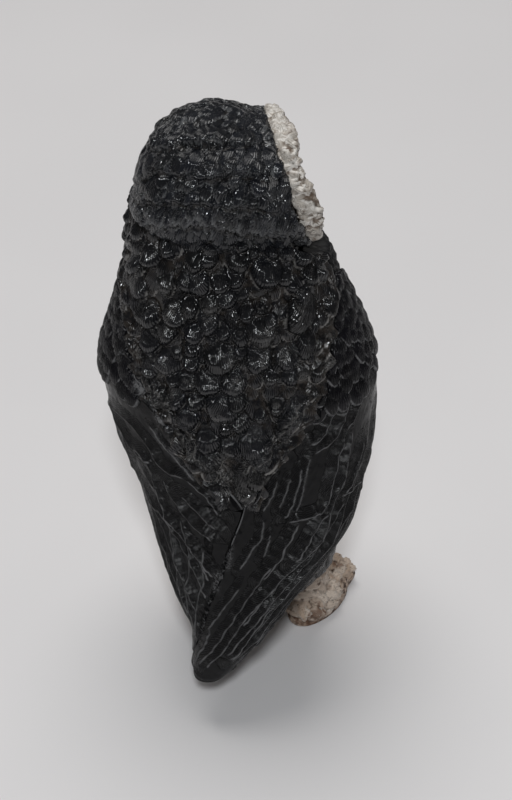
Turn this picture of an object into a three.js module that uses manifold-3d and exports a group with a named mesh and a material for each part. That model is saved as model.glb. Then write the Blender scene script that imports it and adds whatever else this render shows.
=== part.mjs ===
// Owl figurine, hand-painted moulded statuette, about 102 mm tall.
// Built as the moulded pieces it is glued up from: two body half shells, two
// folded wings, tail, head hood, facial disc, beak, two eyes and two feet.
// Millimetres, +Z up, owl looks along -Y (head turned to its own right, -X),
// origin under the middle of its bounding box, soles on z = 0.
import * as THREE from 'three';
import { mergeVertices, toCreasedNormals } from 'three/addons/utils/BufferGeometryUtils.js';
import Module from 'manifold-3d';

const wasm = await Module();
wasm.setup();

// ---------------------------------------------------------------- dimensions
const GAP = 0.3;                 // glue / fit clearance between neighbouring pieces
const ORIGIN_SHIFT = [0.1035, -4.3195, 0];    // brings the bounding box centre over the origin

// outer envelope of the folded wings and mantle: height, half width, back y, front y
const ENVELOPE = [
  [9, 2.82, 29, 26], [13, 4.87, 28.6, 23], [18, 7.64, 27.8, 18], [25, 11.97, 26.3, 10],
  [33, 16.01, 24.6, 2], [41, 18.62, 22.8, -6], [49, 21.29, 21, -10], [57, 22.03, 19, -12],
  [65, 20.42, 17, -13], [73, 17.53, 15, -13], [79, 15.71, 13.2, -12], [85, 14.27, 11, -10.5],
  [91, 12.14, 8, -8],
];
// sideways bow of the back: height, x of the middle
const SPINE = [[9, 2.01], [21, -1.59], [35, -2.45], [51, -0.47], [67, 0.49], [85, 2.49], [92, 2.9]];

// body under the wings: height, half width, y of widest point, back y, front y
const BODY = [
  [8, 6.2, 0.2, 5.0, -4.8], [9.6, 10.0, 0.6, 8.4, -7.6], [13, 13.0, 1.0, 11.4, -10.8], [18, 14.3, 1.8, 14.4, -13.4],
  [25, 15.0, 2.6, 17.6, -16.2], [33, 15.6, 3.6, 20.0, -18.2], [41, 16.2, 6.0, 21.4, -19.4],
  [49, 17.8, 5.5, 20.4, -20.2], [57, 18.6, 3.5, 18.4, -20.0], [65, 17.2, 2.0, 16.4, -18.4],
  [73, 16.4, 1.0, 14.4, -15.6], [79, 15.1, 0.6, 12.6, -13.2], [85, 13.5, 0.2, 10.3, -11.0],
];
const MANTLE_SET_BACK = 0.6;     // bare back lies this far inside the envelope
const WING_SEAT = 3.4;           // body surface under the wings, inside the envelope
const PARTING_Y = 0.5;           // plane between the back shell and the breast shell
const SHELL_WALL = 7.0;          // body wall round the hollow core
const CORE_Z = [32, 74];         // height range of the hollow core

// wing edges as the angle round the body (0 = owl's left, 90 = back, 180 = right)
const RIGHT_DORSAL = [
  [13, 24], [17.5, 47], [23.7, 67], [29.4, 79], [33.9, 83], [36.9, 87], [41.7, 94],
  [46.9, 100], [50.9, 111], [54.1, 119], [59.3, 129], [63.1, 136], [68.3, 147], [72.8, 163], [74.5, 174],
];
const RIGHT_VENTRAL = [
  [13, 163], [16, 168], [20, 172], [25, 178], [32, 186], [40, 194], [50, 203], [60, 208],
  [68, 206], [72.8, 198], [74.5, 190],
];
const LEFT_DORSAL = [
  [16, 38], [20, 52], [23.7, 64], [29.4, 88], [34.9, 92], [41.4, 96], [45.9, 90], [48.1, 81],
  [51.9, 71], [56.6, 64], [58.3, 58], [64.3, 47], [71.6, 27], [74.5, 8],
];
const LEFT_VENTRAL = [
  [16, 8], [20, 8], [25, 2], [32, -6], [40, -14], [50, -23], [60, -28], [68, -26], [72.8, -18], [74.5, -10],
];
const RIGHT_WING_Z = [12.8, 74.2];
const LEFT_WING_Z = [16.6, 74.2];
const WING_THICK = [[12.8, 0.9], [17, 1.25], [24, 1.9], [32, 2.5], [45, 3.0], [75, 3.0]];
const WING_EDGE = 1.15;          // wing thickness along its feathered edges

// tail: height, half width, back y, front y
const TAIL = [
  [9, 2.6, 28.85, 26.2], [11, 3.7, 28.6, 24.6], [13, 4.0, 27.0, 23.0], [16, 5.0, 25.8, 20.8],
  [20, 6.6, 24.4, 18.8], [25, 8.4, 22.0, 17.2], [30, 8.8, 20.4, 16.2], [34, 8.2, 19.2, 15.4], [37, 6.8, 18.2, 15.2],
];

// head: centre, direction of the face, sections along that direction
const HEAD_C = [2.54, -0.28, 88.36];
const FACE_TURN = 71;            // degrees from straight ahead toward the owl's right
const FACE_PITCH = 15.8;         // degrees upward
// distance along the face direction, half width, half height, drop of the section centre
const HEAD_SECTIONS = [
  [-11.9, 0.0, 0.0, 0], [-11.4, 3.2, 3.8, 0], [-10.2, 5.9, 7.0, 0], [-8, 8.6, 9.9, -0.3], [-5, 10.8, 12.5, 0],
  [-1.5, 12.0, 13.5, 0], [2, 12.4, 13.35, -0.15], [6, 12.5, 12.5, -0.87], [9, 12.1, 11.3, -1.9], [10.7, 11.5, 10.5, -2.3],
];
const DISC_SEAT = 9.2;           // pocket floor in the hood
const DISC_R = [10.2, 9.3];      // half width, half height of the disc where it sits in the pocket
const DISC_LIP = 0.8;            // disc lip laps over the hood edge by this much
const DISC_FRONT = 13.1;         // rim height along the face direction
const DISC_FLOOR = 12.2;         // the face inside the rim
const EYE_R = 2.6, EYE_DEPTH = 1.7, EYE_T = 4.7, EYE_UP = 1.2, EYE_S = 11.2;
// nape skirt of the hood: height, middle x, half width, back y, front y
const NAPE = [
  [85.4, 4.6, 11.7, 11.6, -9.5], [87, 4.5, 11.7, 12.4, -9.8], [89, 4.3, 11.3, 12.6, -9.8],
  [91.5, 4.0, 10.8, 12.1, -9.5], [94, 3.4, 10.1, 11.0, -8.6], [96, 2.9, 9.0, 9.4, -7.0],
];
const NECK_R = 5.4, NECK_Z = [72, 84.5];

// feet
const FOOT = { right: [-10.7, -1.7], left: [9.0, -1.5], len: 16.2, wid: 9.8, splayRight: 21, splayLeft: 9 };
const LEG = { x: 7.6, y: 0.6, r: 3.9, rTop: 5.4, top: 15.5 };
const TOE = { len: 7.4, r: 2.5, fan: 18 };

// ---------------------------------------------------------------- small tools
const rad = (a) => (a * Math.PI) / 180;
const clamp = (v, a, b) => Math.min(b, Math.max(a, v));
const smooth = (a, b, v) => { const t = clamp((v - a) / (b - a), 0, 1); return t * t * (3 - 2 * t); };

// shape-preserving cubic through the rows of a table, returns every column after the first
function curve(tab) {
  const n = tab.length, k = tab[0].length - 1, x = tab.map((r) => r[0]);
  const m = [];
  for (let c = 1; c <= k; c++) {
    const d = [];
    for (let i = 0; i < n - 1; i++) d.push((tab[i + 1][c] - tab[i][c]) / (x[i + 1] - x[i]));
    const s = new Array(n).fill(0);
    s[0] = d[0]; s[n - 1] = d[n - 2];
    for (let i = 1; i < n - 1; i++) {
      if (d[i - 1] * d[i] > 0) {
        const h0 = x[i] - x[i - 1], h1 = x[i + 1] - x[i], w1 = 2 * h1 + h0, w2 = h1 + 2 * h0;
        s[i] = (w1 + w2) / (w1 / d[i - 1] + w2 / d[i]);
      }
    }
    m.push(s);
  }
  return (v) => {
    v = clamp(v, x[0], x[n - 1]);
    let i = 0;
    while (i < n - 2 && v > x[i + 1]) i++;
    const h = x[i + 1] - x[i], t = (v - x[i]) / h, t2 = t * t, t3 = t2 * t, out = [];
    for (let c = 0; c < k; c++) {
      out.push((2 * t3 - 3 * t2 + 1) * tab[i][c + 1] + (t3 - 2 * t2 + t) * h * m[c][i]
        + (-2 * t3 + 3 * t2) * tab[i + 1][c + 1] + (t3 - t2) * h * m[c][i + 1]);
    }
    return out;
  };
}

function build(pos, idx) {
  const g = new THREE.BufferGeometry();
  g.setAttribute('position', new THREE.BufferAttribute(new Float32Array(pos.flat()), 3));
  g.setIndex(idx);
  return g;
}
function solid(g) {                                  // geometry -> manifold
  g = g.clone();
  g.deleteAttribute('normal'); g.deleteAttribute('uv');
  g = mergeVertices(g, 1e-4);
  const mesh = new wasm.Mesh({ numProp: 3, vertProperties: new Float32Array(g.attributes.position.array), triVerts: new Uint32Array(g.index.array) });
  mesh.merge();
  return new wasm.Manifold(mesh);
}
function shape(man) {                                // manifold -> geometry
  const q = man.getMesh();
  const g = new THREE.BufferGeometry();
  const np = q.numProp, n = q.vertProperties.length / np, p = new Float32Array(n * 3);
  for (let i = 0; i < n; i++) for (let c = 0; c < 3; c++) p[3 * i + c] = q.vertProperties[np * i + c];
  g.setAttribute('position', new THREE.BufferAttribute(p, 3));
  g.setIndex(Array.from(q.triVerts));
  return g;
}
const minus = (a, ...bs) => bs.reduce((m, b) => m.subtract(b), a);

// closed rings stacked one over another, first to last, with fan caps
function ringSolid(rings) {
  const pos = [], idx = [], n = rings[0].length, m = rings.length;
  rings.forEach((r) => r.forEach((p) => pos.push(p)));
  for (let i = 0; i < m - 1; i++) for (let j = 0; j < n; j++) {
    const a = i * n + j, b = i * n + ((j + 1) % n), c = b + n, d = a + n;
    idx.push(a, b, c, a, c, d);
  }
  const cap = (r, off, flip) => {
    const c = r.reduce((s, p) => [s[0] + p[0] / n, s[1] + p[1] / n, s[2] + p[2] / n], [0, 0, 0]);
    pos.push(c); const k = pos.length - 1;
    for (let j = 0; j < n; j++) { const a = off + j, b = off + ((j + 1) % n); flip ? idx.push(k, b, a) : idx.push(k, a, b); }
  };
  cap(rings[0], 0, true);
  cap(rings[m - 1], (m - 1) * n, false);
  return build(pos, idx);
}
// two matching sheets of points (outer, inner) closed along all four edges
function sheetSolid(outer, inner) {
  const m = outer.length, n = outer[0].length, pos = [...outer.flat(), ...inner.flat()], idx = [], N = m * n;
  for (let i = 0; i < m - 1; i++) for (let j = 0; j < n - 1; j++) {
    const a = i * n + j, b = a + 1, c = b + n, d = a + n;
    idx.push(a, b, c, a, c, d);
    idx.push(N + a, N + c, N + b, N + a, N + d, N + c);
  }
  const edge = (a, b) => idx.push(a, N + a, N + b, a, N + b, b);
  for (let j = 0; j < n - 1; j++) { edge(j + 1 - 1, j + 1); edge((m - 1) * n + j + 1, (m - 1) * n + j); }
  for (let i = 0; i < m - 1; i++) { edge((i + 1) * n, i * n); edge(i * n + n - 1, (i + 1) * n + n - 1); }
  return build(pos, idx);
}
function outward(g) {                                // turn the surface to face out if it faces in
  const p = g.attributes.position, ix = g.index.array; let v = 0;
  const a = new THREE.Vector3(), b = new THREE.Vector3(), c = new THREE.Vector3();
  for (let i = 0; i < ix.length; i += 3) {
    a.fromBufferAttribute(p, ix[i]); b.fromBufferAttribute(p, ix[i + 1]); c.fromBufferAttribute(p, ix[i + 2]);
    v += a.dot(b.cross(c));
  }
  if (v < 0) for (let i = 0; i < ix.length; i += 3) { const t = ix[i + 1]; ix[i + 1] = ix[i + 2]; ix[i + 2] = t; }
  return g;
}
const S = (g) => solid(outward(g));
function rod(c, dir, r, len, seg = 16, rEnd = r) {   // round peg centred on c along dir
  const g = new THREE.CylinderGeometry(rEnd, r, len, seg);
  g.applyQuaternion(new THREE.Quaternion().setFromUnitVectors(new THREE.Vector3(0, 1, 0), new THREE.Vector3(...dir).normalize()));
  g.translate(...c);
  return S(g);
}
function block(x0, x1, y0, y1, z0, z1) {
  const g = new THREE.BoxGeometry(x1 - x0, y1 - y0, z1 - z0);
  g.translate((x0 + x1) / 2, (y0 + y1) / 2, (z0 + z1) / 2);
  return S(g);
}

// ---------------------------------------------------------------- envelope
const envAt = curve(ENVELOPE), spineAt = curve(SPINE), bodyAt = curve(BODY);
function env(th, z, off) {
  const [a, yb, yf] = envAt(z), x0 = spineAt(z)[0], ym = (yb + yf) / 2, d = (yb - yf) / 2;
  const c = Math.cos(rad(th)), s = Math.sin(rad(th));
  const nx = c / a, ny = s / d, l = Math.hypot(nx, ny);
  return [x0 + a * c - (nx / l) * off, ym + d * s - (ny / l) * off, z];
}

// ---------------------------------------------------------------- wings
const rdAt = curve(RIGHT_DORSAL), rvAt = curve(RIGHT_VENTRAL), ldAt = curve(LEFT_DORSAL), lvAt = curve(LEFT_VENTRAL);
const thickAt = curve(WING_THICK);
function wing(dAt, vAt, zr, grow, cols = 12, rows = 22) {
  const outer = [], inner = [], z0 = zr[0] - grow, z1 = zr[1] + grow;
  for (let i = 0; i <= rows; i++) {
    const ro = [], ri = [];
    for (let j = 0; j <= cols; j++) {
      const s = j / cols, u = i / rows;
      const lift = 2.2 * Math.pow(Math.abs(2 * s - 1), 3);          // rounded tip and shoulder
      const z = z0 + lift * 0.8 + (z1 - lift - z0 - lift * 0.8) * u;
      const [a] = envAt(z), g = grow > 0 ? ((grow + 0.05) / a) * 57.3 : 0;
      const dth = dAt(z)[0], vth = vAt(z)[0], sg = Math.sign(vth - dth);
      const th = (dth - sg * g) + (vth - dth + 2 * sg * g) * s;
      const edge = Math.min(s, 1 - s, u * 2.2, (1 - u) * 2.2);
      const t = WING_EDGE * (thickAt(z)[0] / 3) + (thickAt(z)[0] - WING_EDGE * (thickAt(z)[0] / 3)) * smooth(0, 0.16, edge);
      ro.push(env(th, z, grow > 0 ? -2.5 : 0.35 * (1 - smooth(0, 0.07, edge))));
      ri.push(env(th, z, t + grow));
    }
    outer.push(ro); inner.push(ri);
  }
  return S(sheetSolid(outer, inner));
}
const PEG = { z: 58, y: 6.5, r: 2.0, len: 8 };
const pegAt = (sg, grow) => {
  const x0 = spineAt(PEG.z)[0];
  return rod([x0 + sg * 16.2, PEG.y, PEG.z], [1, 0, 0], PEG.r + grow, PEG.len + 2 * grow);
};
const rightCut = wing(rdAt, rvAt, RIGHT_WING_Z, GAP);
const leftCut = wing(ldAt, lvAt, LEFT_WING_Z, GAP);
const rightWing = wing(rdAt, rvAt, RIGHT_WING_Z, 0).add(pegAt(-1, 0));
const leftWing = minus(wing(ldAt, lvAt, LEFT_WING_Z, 0), rightCut).add(pegAt(1, 0));

// ---------------------------------------------------------------- tail
const tailAt = curve(TAIL);
function tailLoft(grow) {
  const rings = [], seg = 22, rows = 11;
  const z0 = TAIL[0][0] - grow, z1 = TAIL[TAIL.length - 1][0] + grow;
  for (let i = 0; i <= rows; i++) {
    const z = z0 + ((z1 - z0) * i) / rows, [a, yb, yf] = tailAt(z), x0 = spineAt(z)[0], ring = [];
    for (let j = 0; j < seg; j++) {
      const th = (2 * Math.PI * j) / seg, c = Math.cos(th), s = Math.sin(th), e = 2 / 2.4;
      ring.push([x0 + (a + grow) * Math.sign(c) * Math.abs(c) ** e,
        (yb + yf) / 2 + ((yb - yf) / 2 + grow) * Math.sign(s) * Math.abs(s) ** e, z]);
    }
    rings.push(ring);
  }
  return S(ringSolid(rings));
}
const tail = minus(tailLoft(0), rightCut, leftCut);

// ---------------------------------------------------------------- head, face, eyes, beak
const FN = [-Math.sin(rad(FACE_TURN)) * Math.cos(rad(FACE_PITCH)), -Math.cos(rad(FACE_TURN)) * Math.cos(rad(FACE_PITCH)), Math.sin(rad(FACE_PITCH))];
const FT = [Math.cos(rad(FACE_TURN)), -Math.sin(rad(FACE_TURN)), 0];                       // toward the owl's left eye
const FU = [-FT[1] * FN[2] + FT[2] * FN[1], -(FT[2] * FN[0] - FT[0] * FN[2]), -(FT[0] * FN[1] - FT[1] * FN[0])].map((v) => v);
if (FU[2] < 0) for (let i = 0; i < 3; i++) FU[i] = -FU[i];
const headAt = curve(HEAD_SECTIONS);
const facePt = (s, t, u, drop) => [0, 1, 2].map((i) => HEAD_C[i] + FN[i] * s + FT[i] * t + FU[i] * u + (i === 2 ? drop : 0));
function headLoft(grow) {
  const rings = [], seg = 36, stops = [-11.85, -11.5, -10.9, -10.0, -8.9, -7.4, -5.4, -3, -0.4, 2.4, 5, 7.2, 9, 10.1, 10.7];
  for (const s of stops) {
    const [w, h, drop] = headAt(s), ss = s + (s < 0 ? -grow : grow), ring = [];
    for (let j = 0; j < seg; j++) {
      const a = (2 * Math.PI * j) / seg;
      ring.push(facePt(ss, (w + grow) * Math.cos(a), (h + grow) * Math.sin(a), drop));
    }
    rings.push(ring);
  }
  return S(ringSolid(rings));
}
const DROP = -2.3;
// dished facial disc with a raised rim and a ridge running down to the beak
function disc(grow, full) {
  const seg = 30, rings = [];
  const ell = (s, w, h) => Array.from({ length: seg }, (_, j) => { const a = (2 * Math.PI * j) / seg; return facePt(typeof s === 'function' ? s(a) : s, w * Math.cos(a), h * Math.sin(a), DROP); });
  const [w, h] = DISC_R;
  rings.push(ell(DISC_SEAT - grow, w + grow, h + grow));
  if (!full) return S(ringSolid([rings[0], ell(14, w + grow, h + grow)]));
  if (grow > 0) return S(ringSolid([ell(10.4, w + 1 + grow, h + 1 + grow), ell(14.4, w + 1 + grow, h + 1 + grow)]));
  rings.push(ell(10.7 + GAP, w, h));
  rings.push(ell(10.75 + GAP, w + DISC_LIP, h + DISC_LIP));
  rings.push(ell(11.7, w + DISC_LIP + 0.3, h + DISC_LIP + 0.3));
  rings.push(ell(12.6, w + DISC_LIP + 0.15, h + DISC_LIP + 0.15));
  rings.push(ell(DISC_FRONT, w + 0.3, h + 0.3));
  const bowl = (k) => (a) => {
    const t = k * w * Math.cos(a), u = k * h * Math.sin(a);
    const dish = DISC_FLOOR + (DISC_FRONT - DISC_FLOOR) * smooth(0.8, 0.97, k) - 1.05 * Math.exp(-(((Math.abs(t) - 4.4) / 3.6) ** 2) - (((u - 0.8) / 5) ** 2));
    const ridge = 0.6 * Math.exp(-((t / 1.7) ** 2)) * smooth(8, 3, Math.abs(u + 0.5));
    return dish + ridge;
  };
  for (const k of [0.93, 0.8, 0.62, 0.45, 0.28, 0.12]) rings.push(ell(bowl(k), k * w, k * h));
  return S(ringSolid(rings));
}
function eye(sg, grow) {
  const g = new THREE.SphereGeometry(1, 18, 10);
  g.scale(EYE_R + grow, EYE_R + grow, EYE_DEPTH + grow);
  g.applyQuaternion(new THREE.Quaternion().setFromUnitVectors(new THREE.Vector3(0, 0, 1), new THREE.Vector3(...FN)));
  g.translate(...facePt(EYE_S, sg * EYE_T, EYE_UP, DROP));
  return S(g);
}
// hooked beak: sections along its curved midline: out of the face, down, half width, half depth
const BEAK = [[10.0, 0.3, 1.1, 1.4], [10.8, 0.1, 1.15, 1.5], [11.5, -0.4, 1.05, 1.4], [12.05, -1.3, 0.9, 1.15], [12.4, -2.4, 0.65, 0.85], [12.4, -3.3, 0.38, 0.5], [12.2, -3.9, 0.14, 0.2]];
function beakLoft(grow) {
  const seg = 14, rings = [];
  BEAK.forEach(([s, u, w, d], i) => {
    const p = BEAK[Math.max(0, i - 1)], q = BEAK[Math.min(BEAK.length - 1, i + 1)];
    let ds = q[0] - p[0], du = q[1] - p[1]; const l = Math.hypot(ds, du); ds /= l; du /= l;
    rings.push(Array.from({ length: seg }, (_, j) => {
      const a = (2 * Math.PI * j) / seg, c = (w + grow) * Math.cos(a), e = (d + grow) * Math.sin(a);
      return facePt(s + e * -du - (i === 0 ? grow * ds : 0), c, u + e * ds - (i === 0 ? grow * du : 0), DROP);
    }));
  });
  return S(ringSolid(rings));
}
const neckC = (grow, top) => {
  const x0 = spineAt(82)[0] + 0.1, z0 = NECK_Z[0], z1 = top;
  return rod([x0, -0.4, (z0 + z1) / 2], [0, 0, 1], NECK_R + grow, z1 - z0, 24);
};
const napeAt = curve(NAPE);
const nape = (() => {
  const rings = [], seg = 32;
  for (const z of [85.4, 86, 87, 88.4, 90, 92, 94, 96]) {
    const [cx, a, yb, yf] = napeAt(z);
    rings.push(Array.from({ length: seg }, (_, j) => {
      const t = (2 * Math.PI * j) / seg;
      return [cx + a * Math.cos(t), (yb + yf) / 2 + ((yb - yf) / 2) * Math.sin(t), z];
    }));
  }
  return S(ringSolid(rings));
})();
const headCut = headLoft(GAP);
const head = minus(headLoft(0).add(nape), neckC(GAP, NECK_Z[1] + GAP), disc(GAP, false));
const face = minus(disc(0, true), eye(1, GAP), eye(-1, GAP), beakLoft(GAP));

// ---------------------------------------------------------------- feet
function footSolid(sg, grow) {
  const [fx, fy] = sg > 0 ? FOOT.left : FOOT.right;
  const seg = 24, rings = [], dir = rad(-90 + (sg > 0 ? FOOT.splayLeft : -FOOT.splayRight)), ax = [Math.cos(dir), Math.sin(dir)], bx = [-ax[1], ax[0]];
  const prof = [[0, 0.86], [0.6, 0.96], [1.6, 1.0], [3.1, 0.98], [4.4, 0.88], [5.6, 0.7], [6.4, 0.44], [6.7, 0.2]];
  for (const [z, k] of prof) {
    rings.push(Array.from({ length: seg }, (_, j) => {
      const a = (2 * Math.PI * j) / seg, l = (k * FOOT.len) / 2 * Math.cos(a), w = (k * FOOT.wid) / 2 * Math.sin(a) * (1 + 0.1 * Math.cos(a));
      return [fx + ax[0] * l + bx[0] * w, fy + ax[1] * l + bx[1] * w, z];
    }));
  }
  let f = S(ringSolid(rings));
  for (const k of [-1, 0, 1]) {                                   // three forward toes
    const d = dir + rad(k * TOE.fan), reach = FOOT.len / 2 - 2.5 + (k === 0 ? 0.8 : 0);
    const g = new THREE.SphereGeometry(1, 14, 10);
    g.scale(TOE.len / 2, TOE.r, TOE.r * 0.86); g.rotateZ(d);
    g.translate(fx + Math.cos(d) * reach, fy + Math.sin(d) * reach, 2.0);
    f = f.add(S(g));
  }
  f = f.add(legRod(sg, 0));
  return f.intersect(block(-40, 40, -40, 40, 0, 40));
}
function legRod(sg, grow) {
  const [fx, fy] = sg > 0 ? FOOT.left : FOOT.right;
  const foot = new THREE.Vector3(fx - sg * 1.6, fy + 1.2, 3.2), hip = new THREE.Vector3(sg * LEG.x, LEG.y, LEG.top + grow);
  const d = hip.clone().sub(foot), m = foot.clone().add(hip).multiplyScalar(0.5);
  return rod([m.x, m.y, m.z], [d.x, d.y, d.z], LEG.r + grow, d.length(), 20, LEG.rTop + grow);
}

// ---------------------------------------------------------------- body half shells
function bodyLoft(shrink, zr, seg, rows, capRound) {
  const rings = [];
  for (let i = 0; i <= rows; i++) {
    const u = i / rows, z = zr[0] + (zr[1] - zr[0]) * u, [a, y0, yb, yf] = bodyAt(z), x0 = spineAt(clamp(z, 40, 92))[0] * smooth(20, 60, z);
    const k = capRound ? Math.sqrt(clamp(1 - (2 * u - 1) ** 6, 0.02, 1)) : 1;
    rings.push(Array.from({ length: seg }, (_, j) => {
      const th = (360 * j) / seg, c = Math.cos(rad(th)), s = Math.sin(rad(th));
      let p = [x0 + k * (a - shrink) * c, y0 + k * ((s >= 0 ? yb - y0 : y0 - yf) - shrink) * s, z];
      if (shrink === 0 && s > 0) {                                 // bare mantle follows the envelope between the wings
        const dR = z > 74 ? 190 : rdAt(z)[0], dL = z > 74 ? -10 : ldAt(z)[0], w = smooth(38, 48, z);
        const inMantle = smooth(dL - 20, dL - 9, th) * (1 - smooth(dR + 9, dR + 20, th));
        const off = WING_SEAT + (MANTLE_SET_BACK - WING_SEAT) * inMantle, q = env(th, z, off);
        const e = smooth(0, 0.25, s) * w;
        p = [p[0] * (1 - e) + q[0] * e, p[1] * (1 - e) + q[1] * e, z];
      }
      return p;
    }));
  }
  return S(ringSolid(rings));
}
const core = bodyLoft(SHELL_WALL, CORE_Z, 28, 12, true);
let body = bodyLoft(0, [8, 85], 40, 27, false);
body = minus(body, rightCut, leftCut, pegAt(-1, GAP), pegAt(1, GAP), tailLoft(GAP), headCut, disc(GAP, true));
body = body.add(neckC(0, NECK_Z[1])).subtract(core);
for (const sg of [-1, 1]) body = body.subtract(legRod(sg, GAP));
const dowels = [[-14.2, 50], [14.0, 50], [0, 24]];
let back = body.intersect(block(-40, 40, PARTING_Y + GAP / 2, 40, 0, 120));
let breast = body.intersect(block(-40, 40, -40, PARTING_Y - GAP / 2, 0, 120));
for (const [x, z] of dowels) {
  breast = breast.add(rod([x, PARTING_Y, z], [0, 1, 0], 1.4, 5, 14));
  back = back.subtract(rod([x, PARTING_Y, z], [0, 1, 0], 1.4 + GAP, 5 + 2 * GAP, 14));
}

// ---------------------------------------------------------------- finishes
const paint = (color, roughness) => new THREE.MeshStandardMaterial({ color, roughness, metalness: 0 });
const BLACK = paint('#242428', 0.42), DARK = paint('#1c1c1f', 0.45), PALE = paint('#d6ccbf', 0.6),
  FACE = paint('#cfc6bb', 0.62), HORN = paint('#8f7d62', 0.35), EYE = paint('#070708', 0.08), FOOTC = paint('#cdbfb0', 0.6);

const group = new THREE.Group();
group.name = 'owl_figurine';
function add(name, man, mat) {
  let g = shape(man);
  g.translate(...ORIGIN_SHIFT);
  g = toCreasedNormals(g, rad(38));
  const m = new THREE.Mesh(g, mat);
  m.name = name;
  group.add(m);
}
add('back_shell', back, BLACK);
add('breast_shell', breast, PALE);
add('left_wing', leftWing, BLACK);
add('right_wing', rightWing, BLACK);
add('tail', tail, DARK);
add('head_hood', head, BLACK);
add('face_disc', face, FACE);
add('beak', beakLoft(0), HORN);
add('left_eye', eye(1, 0), EYE);
add('right_eye', eye(-1, 0), EYE);
add('left_foot', footSolid(1, 0), FOOTC);
add('right_foot', footSolid(-1, 0), FOOTC);

export default group;
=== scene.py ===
# Looks of the owl figurine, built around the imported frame. Lengths are worked in
# millimetres in the CAD's own coordinates and turned to metres in to_m().
import bpy, bmesh, math
import numpy as np
from mathutils import Matrix, Vector


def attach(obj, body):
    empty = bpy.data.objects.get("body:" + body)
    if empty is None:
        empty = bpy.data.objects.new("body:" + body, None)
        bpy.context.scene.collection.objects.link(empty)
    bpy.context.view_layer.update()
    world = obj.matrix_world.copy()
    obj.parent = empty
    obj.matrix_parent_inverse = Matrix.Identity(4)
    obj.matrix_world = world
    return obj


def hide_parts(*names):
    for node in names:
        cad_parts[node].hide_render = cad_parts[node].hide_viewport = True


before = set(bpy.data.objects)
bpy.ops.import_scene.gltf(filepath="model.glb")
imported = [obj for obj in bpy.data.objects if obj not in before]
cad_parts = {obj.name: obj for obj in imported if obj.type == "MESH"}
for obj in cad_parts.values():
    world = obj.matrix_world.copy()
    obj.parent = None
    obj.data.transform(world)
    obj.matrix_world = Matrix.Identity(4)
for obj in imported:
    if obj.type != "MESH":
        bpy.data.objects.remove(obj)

bpy.context.scene.view_settings.view_transform = "Standard"
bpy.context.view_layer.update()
DEN = 1.0            # mesh density
SHIFT = np.array([0.1035, -4.3195, 0.0])
rng = np.random.default_rng(11)


def to_m(P):
    return (np.asarray(P, float) + SHIFT) * 0.001


# ------------------------------------------------------------------ curves
def pchip(tab):
    t = np.array(tab, float)
    x, y = t[:, 0], t[:, 1:]
    h = np.diff(x)[:, None]
    d = np.diff(y, axis=0) / h
    m = np.zeros_like(y)
    m[0], m[-1] = d[0], d[-1]
    w1, w2 = 2 * h[1:] + h[:-1], h[1:] + 2 * h[:-1]
    ok = d[:-1] * d[1:] > 0
    with np.errstate(divide="ignore", invalid="ignore"):
        m[1:-1] = np.where(ok, (w1 + w2) / (w1 / d[:-1] + w2 / d[1:]), 0)

    def f(v):
        v = np.clip(np.asarray(v, float), x[0], x[-1])
        i = np.clip(np.searchsorted(x, v, side="right") - 1, 0, len(x) - 2)
        hh = h[i, 0]
        s = (v - x[i]) / hh
        s = s[..., None]
        hh = hh[..., None]
        return ((2 * s**3 - 3 * s**2 + 1) * y[i] + (s**3 - 2 * s**2 + s) * hh * m[i]
                + (-2 * s**3 + 3 * s**2) * y[i + 1] + (s**3 - s**2) * hh * m[i + 1])
    return f


def smooth(a, b, v):
    t = np.clip((np.asarray(v, float) - a) / (b - a), 0, 1)
    return t * t * (3 - 2 * t)


ENVELOPE = [(9, 2.82, 29, 26), (13, 4.87, 28.6, 23), (18, 7.64, 27.8, 18), (25, 11.97, 26.3, 10),
            (33, 16.01, 24.6, 2), (41, 18.62, 22.8, -6), (49, 21.29, 21, -10), (57, 22.03, 19, -12),
            (65, 20.42, 17, -13), (73, 17.53, 15, -13), (79, 15.71, 13.2, -12), (85, 14.27, 11, -10.5),
            (91, 12.14, 8, -8)]
SPINE = [(9, 2.01), (21, -1.59), (35, -2.45), (51, -0.47), (67, 0.49), (85, 2.49), (92, 2.9)]
BODY = [(8, 6.2, 0.2, 5.0, -4.8), (9.6, 10.0, 0.6, 8.4, -7.6), (13, 13.0, 1.0, 11.4, -10.8), (18, 14.3, 1.8, 14.4, -13.4),
        (25, 15.0, 2.6, 17.6, -16.2), (33, 15.6, 3.6, 20.0, -18.2), (41, 16.2, 6.0, 21.4, -19.4),
        (49, 17.8, 5.5, 20.4, -20.2), (57, 18.6, 3.5, 18.4, -20.0), (65, 17.2, 2.0, 16.4, -18.4),
        (73, 16.4, 1.0, 14.4, -15.6), (79, 15.1, 0.6, 12.6, -13.2), (86.4, 13.2, 0.2, 9.9, -10.8)]
RIGHT_DORSAL = [(9.5, 2), (13, 17), (17.5, 44), (23.7, 67), (29.4, 79), (33.9, 83), (36.9, 87), (41.7, 94), (46.9, 100),
                (50.9, 111), (54.1, 119), (59.3, 129), (63.1, 136), (68.3, 147), (72.8, 163), (74.5, 174)]
RIGHT_VENTRAL = [(13, 163), (16, 168), (20, 172), (25, 178), (32, 186), (40, 194), (50, 203), (60, 208), (68, 206),
                 (72.8, 198), (74.5, 190)]
LEFT_DORSAL = [(13, 28), (16, 38), (20, 52), (23.7, 64), (29.4, 88), (34.9, 92), (41.4, 96), (45.9, 90), (48.1, 81), (51.9, 71),
               (56.6, 64), (58.3, 58), (64.3, 47), (71.6, 27), (74.5, 8)]
LEFT_VENTRAL = [(13, 4), (16, 6), (20, 8), (25, 2), (32, -6), (40, -14), (50, -23), (60, -28), (68, -26), (72.8, -18), (74.5, -10)]
WING_THICK = [(12.8, 0.9), (17, 1.25), (24, 1.9), (32, 2.5), (45, 3.0), (75, 3.0)]
_e, _s = pchip(ENVELOPE), pchip(SPINE)
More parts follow.
